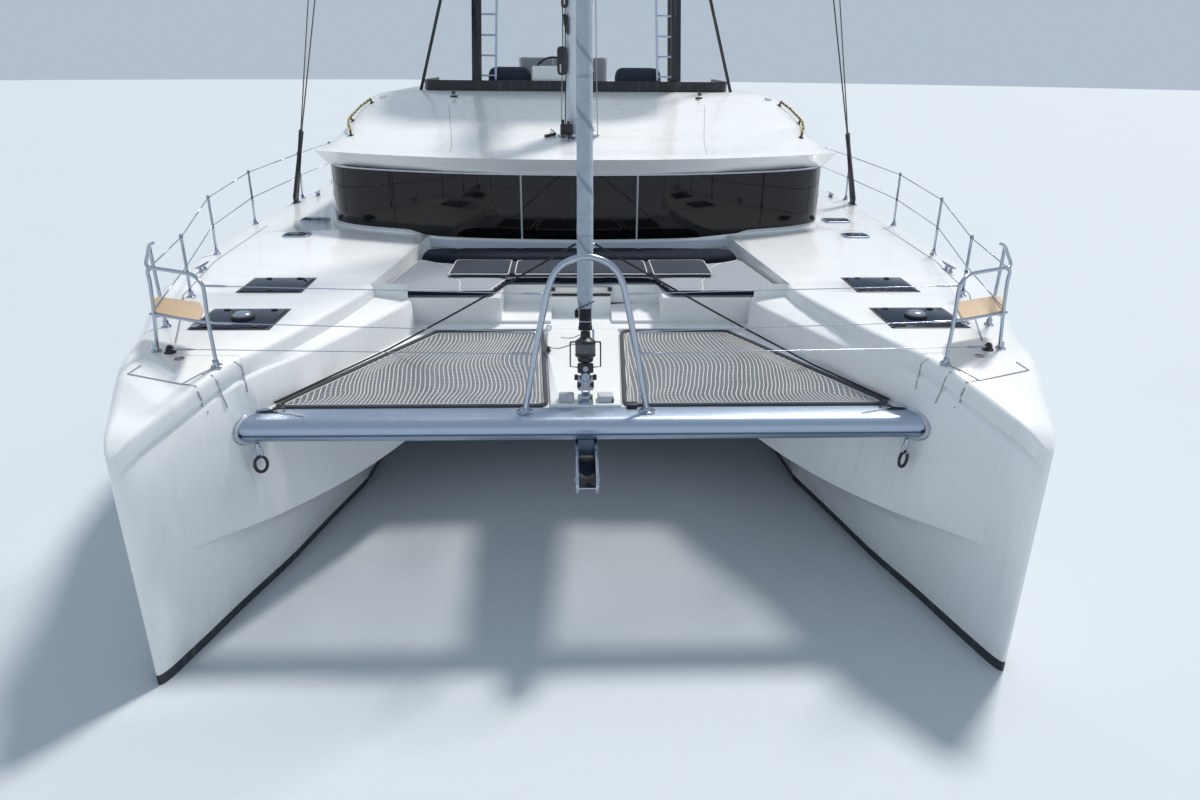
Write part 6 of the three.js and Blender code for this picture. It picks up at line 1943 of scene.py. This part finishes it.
def build_boom():
    dress("boom_tube", "boom", "spar paint", body="boom", bevel=0.004)
    rows = []
    ys = np.linspace(BAG_ROWS[0][0] + 0.01, BAG_ROWS[-1][0] - 0.01, 67)
    for y in ys:
        half, low, top = bag_at(y)
        ring = [(u * half * 0.97 + 0.006 * sin(y * 9.0 + v * 5.0) * v, v)
                for u, v in BAG_SECTION]
        rows.append([(u, y, low + 0.004 + (top - low - bag_sag(y) - 0.01) * v)
                     for u, v in ring + on_side(ring[::-1], -1)])
    piece = add_piece("sail_bag_shell", Form().loft(rows), "canvas", body="boom",
                      replaces="sail_bag", crease=60, subdivide=1)
    trims = Form()
    trims.tube([(0, y, bag_at(y)[2] - bag_sag(y) - 0.004) for y in ys[1:-1]], 0.007, 8)
    for y in BAG_HUNG:
        half, low, top = bag_at(y)
        z = low + BAG_LOOPS * (top - low)
        for x in (half * 0.88, -half * 0.88):
            trims.box((x - 0.02, y - 0.025, z), (x + 0.02, y + 0.025, z + 0.04), 0.004, 0.01)
    trims.box((-0.14, -0.6, 5.78), (0.14, -0.5, 6.02), 0.01, 0.03, 1)
    trims.pin(0.028, -0.15, 0.15, 18, 2, placed((0, -0.62, 5.9)))
    trims.box((-0.10, 5.58, 5.80), (0.10, 5.64, 6.0), 0.01, 0.03, 1)
    add_piece("boom_fittings", trims, ["black trim", "aluminium", "stainless"], body="boom",
              slot="aluminium")


ROLL_PROFILE = ((0.575, 0.040), (0.585, 0.055), (0.66, 0.059), (0.80, 0.062), (4.0, 0.062),
                (9.0, 0.054), (14.0, 0.042))
ROLL_TURNS = 2.2                        # turns of the cloth's edge to a metre
DRUM_LOWER = ((0.02, 0.192), (0.045, 0.197), (0.056, 0.205), (0.060, 0.232), (0.072, 0.240),
              (0.077, 0.246), (0.077, 0.256), (0.070, 0.260), (0.02, 0.260))
DRUM_UPPER = ((0.02, 0.330), (0.072, 0.330), (0.077, 0.335), (0.077, 0.352), (0.068, 0.362),
              (0.05, 0.372), (0.038, 0.385), (0.034, 0.428), (0.02, 0.429))
DRUM_BAND = ((0.02, 0.258), (0.073, 0.259), (0.0745, 0.262), (0.0745, 0.328), (0.073, 0.331),
             (0.02, 0.332))
TACK_SLEEVE = ((0.03, 0.431), (0.050, 0.433), (0.052, 0.455), (0.047, 0.475), (0.044, 0.56),
               (0.046, 0.60), (0.03, 0.602))


def build_roll(axis):
    """A slim roll with its cloth edge wound up it."""
    top = (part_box("headsail")[1].z - STAY_FOOT.z) / STAY.z - 0.03
    lengths, radii = zip(*ROLL_PROFILE, (top, 0.028))
    sides = 40
    levels = [*np.arange(lengths[0], 5.0, 0.03), *np.arange(5.0, top, 0.12), top]
    rings = []
    for s in levels:
        radius = float(np.interp(s, lengths, radii))
        ring = []
        for k, (x, y) in enumerate(circle(1, sides)):
            around = k / sides
            turn = (s * ROLL_TURNS + around) % 1.0
            # Each turn of the cloth ends in a small step, and the roll is never quite round
            step = 0.0030 * max(0.0, 1.0 - turn / 0.22)
            lumps = 0.0026 * noise.noise(Vector((x * 1.3, y * 1.3, s * 1.1)))
            fine = 0.0011 * noise.noise(Vector((around * 18.0, 0.0, s * 9.0)))
            r = radius * 0.965 - 0.001 + step + lumps + fine
            ring.append((r * x, r * y, s))
        rings.append(ring)
    form = Form().loft(rings, matrix=axis)
    mesh = bpy.data.meshes.new("headsail_roll")
    mesh.from_pydata(form.corners, [], form.faces)
    layer = mesh.uv_layers.new(name="UVMap")
    for face in mesh.polygons:
        around = [mesh.loops[i].vertex_index % sides for i in face.loop_indices]
        wraps = max(around) - min(around) > sides / 2
        for i, k in zip(face.loop_indices, around):
            level = mesh.loops[i].vertex_index // sides
            layer.data[i].uv = ((k + sides if wraps and k < sides / 2 else k) / sides,
                                levels[level])
    show("headsail_roll", mesh, "sailcloth", body="headsail", replaces="headsail", crease=70)


def build_headsail():
    """The rolled sail on its drum."""
    axis = placed(STAY_FOOT, STAY)
    build_roll(axis)
    wrap = Form().lathe(TACK_SLEEVE, 32, 0, axis)
    wrap.lathe([(0.044, 0.49), (0.0485, 0.492), (0.0485, 0.500), (0.044, 0.502)], 32, 1, axis)
    wrap.box((-0.078, -0.02, 0.525), (-0.048, 0.02, 0.582), 0.006, 0.01, 0, axis)
    wrap.tube([axis @ Vector((0.066 * cos(a), 0.066 * sin(a),
                              0.615 + 0.03 * cos(a))) for a in np.linspace(0, 6.1, 30)],
              0.004, 6)
    for angle in (0.3, 2.9):
        out = Vector((cos(angle), sin(angle), 0))
        wrap.lathe([(0.009, -0.003), (0.02, -0.003), (0.02, 0.004), (0.009, 0.004)], 18, 1,
                   placed(axis @ (out * 0.062 + UP * 1.05), axis.to_3x3() @ out))
    add_piece("headsail_tack", wrap, ["dark rope", "stainless"], body="headsail",
              slot="sailcloth")

    drum = Form()
    for profile, mark in ((DRUM_LOWER, 0), (DRUM_UPPER, 0), (DRUM_BAND, 2)):
        drum.lathe(profile, 40, mark, axis)
    for k in range(8):
        drum.box((0.052, -0.006, 0.350), (0.070, 0.006, 0.3645), 0.002, 0.004, 1,
                 axis @ Matrix.Rotation(tau * (k + 0.5) / 8, 4, "Z"))
    drum.box((0.05, -0.03, 0.36), (0.066, -0.02, 0.44), 0.003, 0.004, 1, axis)
    add_piece("furler_drum_body", drum, ["black trim", "stainless", "drum band"],
              body="headsail", replaces="furler_drum")


def build_shrouds():
    for side, _ in SIDES:
        node = f"shrouds_{side}"
        mesh = dress(f"{node}_wires", node, "wire", crease=60).data
        corners = np.array([v.co for v in mesh.vertices])
        x, y, _ = corners[corners[:, 2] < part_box(node)[0].z + 0.25].mean(0)
        spot = Vector((x, y, drop(surface_tree(f"hull_{side}"), x, y)[0].z))
        plate = Form().slab(oblong((-0.05, -0.09), (0.05, 0.09), 0.03), -0.002, 0.010, 0.003,
                            0, placed(spot))
        for x, y in ((-0.03, -0.065), (0.03, -0.065), (-0.03, 0.065), (0.03, 0.065)):
            bolt(plate, spot + Vector((x, y, 0.009)), UP, 0.006)
        add_piece(f"chainplate_{side}", plate, "stainless")


def build_rig(sizes):
    build_mast(sizes)
    build_boom()
    build_headsail()
    build_shrouds()


# Cockpit and stern

STERN_TREADS = ((5.42, 5.78, 0.98), (5.82, 6.12, 0.77), (6.17, 6.47, 0.56), (6.52, 6.97, 0.38))
SOLE_PANELS = ((-2.68, 2.66, 0.64, 5.36), (0.70, 2.66, 2.66, 3.05), (0.70, 3.08, 2.10, 4.93))
SOLE_Z = 0.98
BENCH = (((2.15, 3.1), (2.745, 4.98)), ((0.70, 4.99), (2.745, 5.39)))
LOUNGE = (((0.61, -1.79), (2.73, -1.115)), ((2.11, -1.10), (2.73, 0.89)))
STAIR_TREADS, STAIR_X = 7, -2.265
LOW_TREAD, HIGH_TREAD = (5.2, 1.27), (3.85, 2.88)       # y, z


def teak_panel(form, corners, z, thick=0.006, radius=0.04):
    form.slab(rounded(corners, radius), z - 0.001, z + thick, 0.002, steps=2)


def seats(node, parts, base_name, finish, gap, back_gap, under, sizes):
    """A bench's base and the seat cushions over its parts."""
    low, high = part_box(node)
    base, cloth = Form(), Form()
    for (x0, y0), (x1, y1) in parts:
        base.box((x0 + gap, y0 + gap, low.z), (x1, y1 - back_gap, high.z - under), 0.01, 0.03)
        cloth.slab(oblong((x0, y0), (x1, y1), 0.05, 4, 0.012), high.z - 0.096, high.z - 0.008,
                   0.03, both=True)
    add_piece(base_name, base, finish, crease=35)
    pad(f"{node}_cushions", cloth, "light cushion", sizes, replaces=node)


def build_cockpit(sizes):
    deck = surface_tree("bridgedeck", "hull_port", "hull_starboard")
    sole = Form()
    for x0, y0, x1, y1 in SOLE_PANELS:
        teak_panel(sole, [(x0, y0), (x1, y0), (x1, y1), (x0, y1)], SOLE_Z)
    add_piece("cockpit_teak", sole, "teak along")
    for side, sign in SIDES:
        steps = Form()
        for y0, y1, z in STERN_TREADS:
            top = drop(deck, sign * 2.7, (y0 + y1) / 2, z + 0.4)[0].z
            tread = on_side([(2.14, y0), (3.22, y0), (3.22, y1), (2.14, y1)], sign)
            teak_panel(steps, tread[::sign], top)
        add_piece(f"stern_teak_{side}", steps, "teak along")

    low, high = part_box("cockpit_table")
    middle, under = (low + high) / 2, high.z - 0.035
    table = Form().slab(oblong(low, high, 0.08, 5), under, high.z, 0.008, both=True)
    for y in (low.y + 0.38, high.y - 0.38):
        table.lathe([(0, 0), (0.14, 0), (0.14, 0.012), (0.06, 0.03), (0.045, 0.06),
                     (0.045, under - low.z), (0, under - low.z)], 28, 1,
                    placed((middle.x, y, low.z)))
    table.box((low.x + 0.03, middle.y - 0.002, high.z - 0.004),
              (high.x - 0.03, middle.y + 0.002, high.z + 0.0008), 0.0005, 0.001, 2)
    add_piece("cockpit_table_top", table, ["teak along", "stainless", "black trim"],
              replaces="cockpit_table")
    seats("cockpit_bench", BENCH, "cockpit_bench_base", "gelcoat", 0.01, 0.004, 0.10, sizes)
    seats("saloon_lounge", LOUNGE, "saloon_lounge_base", "interior", 0, 0, 0.11, sizes)

    dress("flybridge_stairs_skin", "flybridge_stairs", "gelcoat", bevel=0.006)
    treads = Form()
    tree = surface_tree("flybridge_stairs")
    for share in np.linspace(0, 1, STAIR_TREADS):
        y, z = Vector(LOW_TREAD).lerp(HIGH_TREAD, share)
        top = drop(tree, STAIR_X, y, z + 0.1)[0].z
        teak_panel(treads, [(-2.50, y - 0.095), (-2.03, y - 0.095), (-2.03, y + 0.095),
                            (-2.50, y + 0.095)], top, 0.005, 0.02)
    add_piece("stair_treads", treads, "teak across")


# Operators, one for each piece or group of like pieces

class CATAMARAN_OT_stage(bpy.types.Operator):
    """Build the materials, the floor at the waterline, the light and the camera"""
    bl_idname = "catamaran.stage"
    bl_label = "Stage and materials"

    def execute(self, context):
        make_finishes(context.scene.catamaran.colors)
        build_stage(context.scene.catamaran.stage)
        return {"FINISHED"}


class CATAMARAN_OT_hulls(bpy.types.Operator):
    """Dress both hulls, the bridgedeck and the longeron"""
    bl_idname = "catamaran.hulls"
    bl_label = "Hulls"

    def execute(self, context):
        build_hulls()
        return {"FINISHED"}


class CATAMARAN_OT_deck(bpy.types.Operator):
    """Fit the chocks, cleats, small hatches and the well's lid"""
    bl_idname = "catamaran.deck"
    bl_label = "Deck fittings"

    def execute(self, context):
        build_deck()
        return {"FINISHED"}


class CATAMARAN_OT_underwater(bpy.types.Operator):
    """Dress the keels, saildrives, propellers and rudders"""
    bl_idname = "catamaran.underwater"
    bl_label = "Underwater gear"

    def execute(self, context):
        build_underwater()
        return {"FINISHED"}


class CATAMARAN_OT_nets(bpy.types.Operator):
    """Knot the two nets between the bows"""
    bl_idname = "catamaran.nets"
    bl_label = "Nets"

    def execute(self, context):
        build_nets(context.scene.catamaran.nets)
        return {"FINISHED"}


class CATAMARAN_OT_bow_gear(bpy.types.Operator):
    """Dress the crossbeam with its roller, hoop and forestay foot"""
    bl_idname = "catamaran.bow_gear"
    bl_label = "Bow gear"

    def execute(self, context):
        build_bow_gear(context.scene.catamaran.rig)
        return {"FINISHED"}


class CATAMARAN_OT_house(bpy.types.Operator):
    """Glaze the house and fit out what shows through its windows"""
    bl_idname = "catamaran.house"
    bl_label = "House"

    def execute(self, context):
        build_house(context.scene.catamaran.house)
        return {"FINISHED"}


class CATAMARAN_OT_roof(bpy.types.Operator):
    """Dress the coachroof and its fittings"""
    bl_idname = "catamaran.roof"
    bl_label = "Coachroof"

    def execute(self, context):
        build_roof()
        return {"FINISHED"}


class CATAMARAN_OT_flybridge(bpy.types.Operator):
    """Dress the flybridge, its helm and its hardtop"""
    bl_idname = "catamaran.flybridge"
    bl_label = "Flybridge"

    def execute(self, context):
        build_flybridge(context.scene.catamaran.cushions)
        return {"FINISHED"}


class CATAMARAN_OT_cushions(bpy.types.Operator):
    """Sew and stuff the foredeck cushions"""
    bl_idname = "catamaran.cushions"
    bl_label = "Foredeck cushions"

    def execute(self, context):
        build_cushions(context.scene.catamaran.cushions)
        return {"FINISHED"}


class CATAMARAN_OT_hatches(bpy.types.Operator):
    """Build the deck hatches' lids"""
    bl_idname = "catamaran.hatches"
    bl_label = "Hatches"

    def execute(self, context):
        build_hatches()
        return {"FINISHED"}


class CATAMARAN_OT_rails(bpy.types.Operator):
    """Build the pulpits with their seats, the stanchions and the guard wires"""
    bl_idname = "catamaran.rails"
    bl_label = "Rails"

    def execute(self, context):
        build_rails(context.scene.catamaran.rails)
        return {"FINISHED"}


class CATAMARAN_OT_rig(bpy.types.Operator):
    """Build the mast, boom, sails, shrouds and running lines"""
    bl_idname = "catamaran.rig"
    bl_label = "Rig"

    def execute(self, context):
        build_rig(context.scene.catamaran.rig)
        return {"FINISHED"}


class CATAMARAN_OT_cockpit(bpy.types.Operator):
    """Furnish the cockpit and build the stairs"""
    bl_idname = "catamaran.cockpit"
    bl_label = "Cockpit"

    def execute(self, context):
        build_cockpit(context.scene.catamaran.cushions)
        return {"FINISHED"}


OPERATORS = (
    CATAMARAN_OT_stage, CATAMARAN_OT_hulls, CATAMARAN_OT_deck, CATAMARAN_OT_underwater,
    CATAMARAN_OT_nets,
    CATAMARAN_OT_bow_gear, CATAMARAN_OT_house, CATAMARAN_OT_roof, CATAMARAN_OT_flybridge,
    CATAMARAN_OT_cushions, CATAMARAN_OT_hatches, CATAMARAN_OT_rails, CATAMARAN_OT_rig,
    CATAMARAN_OT_cockpit)


class CATAMARAN_PT_sidebar(bpy.types.Panel):
    """The catamaran's sizes, colours and builders"""
    bl_idname = "CATAMARAN_PT_sidebar"
    bl_label = "Catamaran"
    bl_space_type = "VIEW_3D"
    bl_region_type = "UI"
    bl_category = "Catamaran"

    def draw(self, context):
        settings = context.scene.catamaran
        for key, group in SETTINGS.items():
            box = self.layout.box()
            box.label(text=key.replace("_", " ").capitalize())
            for name in group.__annotations__:
                box.prop(getattr(settings, key), name)
        column = self.layout.column(align=True)
        for kind in OPERATORS:
            column.operator(kind.bl_idname)


CLASSES = (*SETTINGS.values(), CatamaranSettings, *OPERATORS, CATAMARAN_PT_sidebar)


def register():
    for kind in CLASSES:
        bpy.utils.register_class(kind)
    bpy.types.Scene.catamaran = PointerProperty(type=CatamaranSettings)


def unregister():
    del bpy.types.Scene.catamaran
    for kind in reversed(CLASSES):
        bpy.utils.unregister_class(kind)


def main():
    register()
    for kind in OPERATORS:
        group, name = kind.bl_idname.split(".")
        getattr(getattr(bpy.ops, group), name)()


if __name__ == "__main__":
    main()
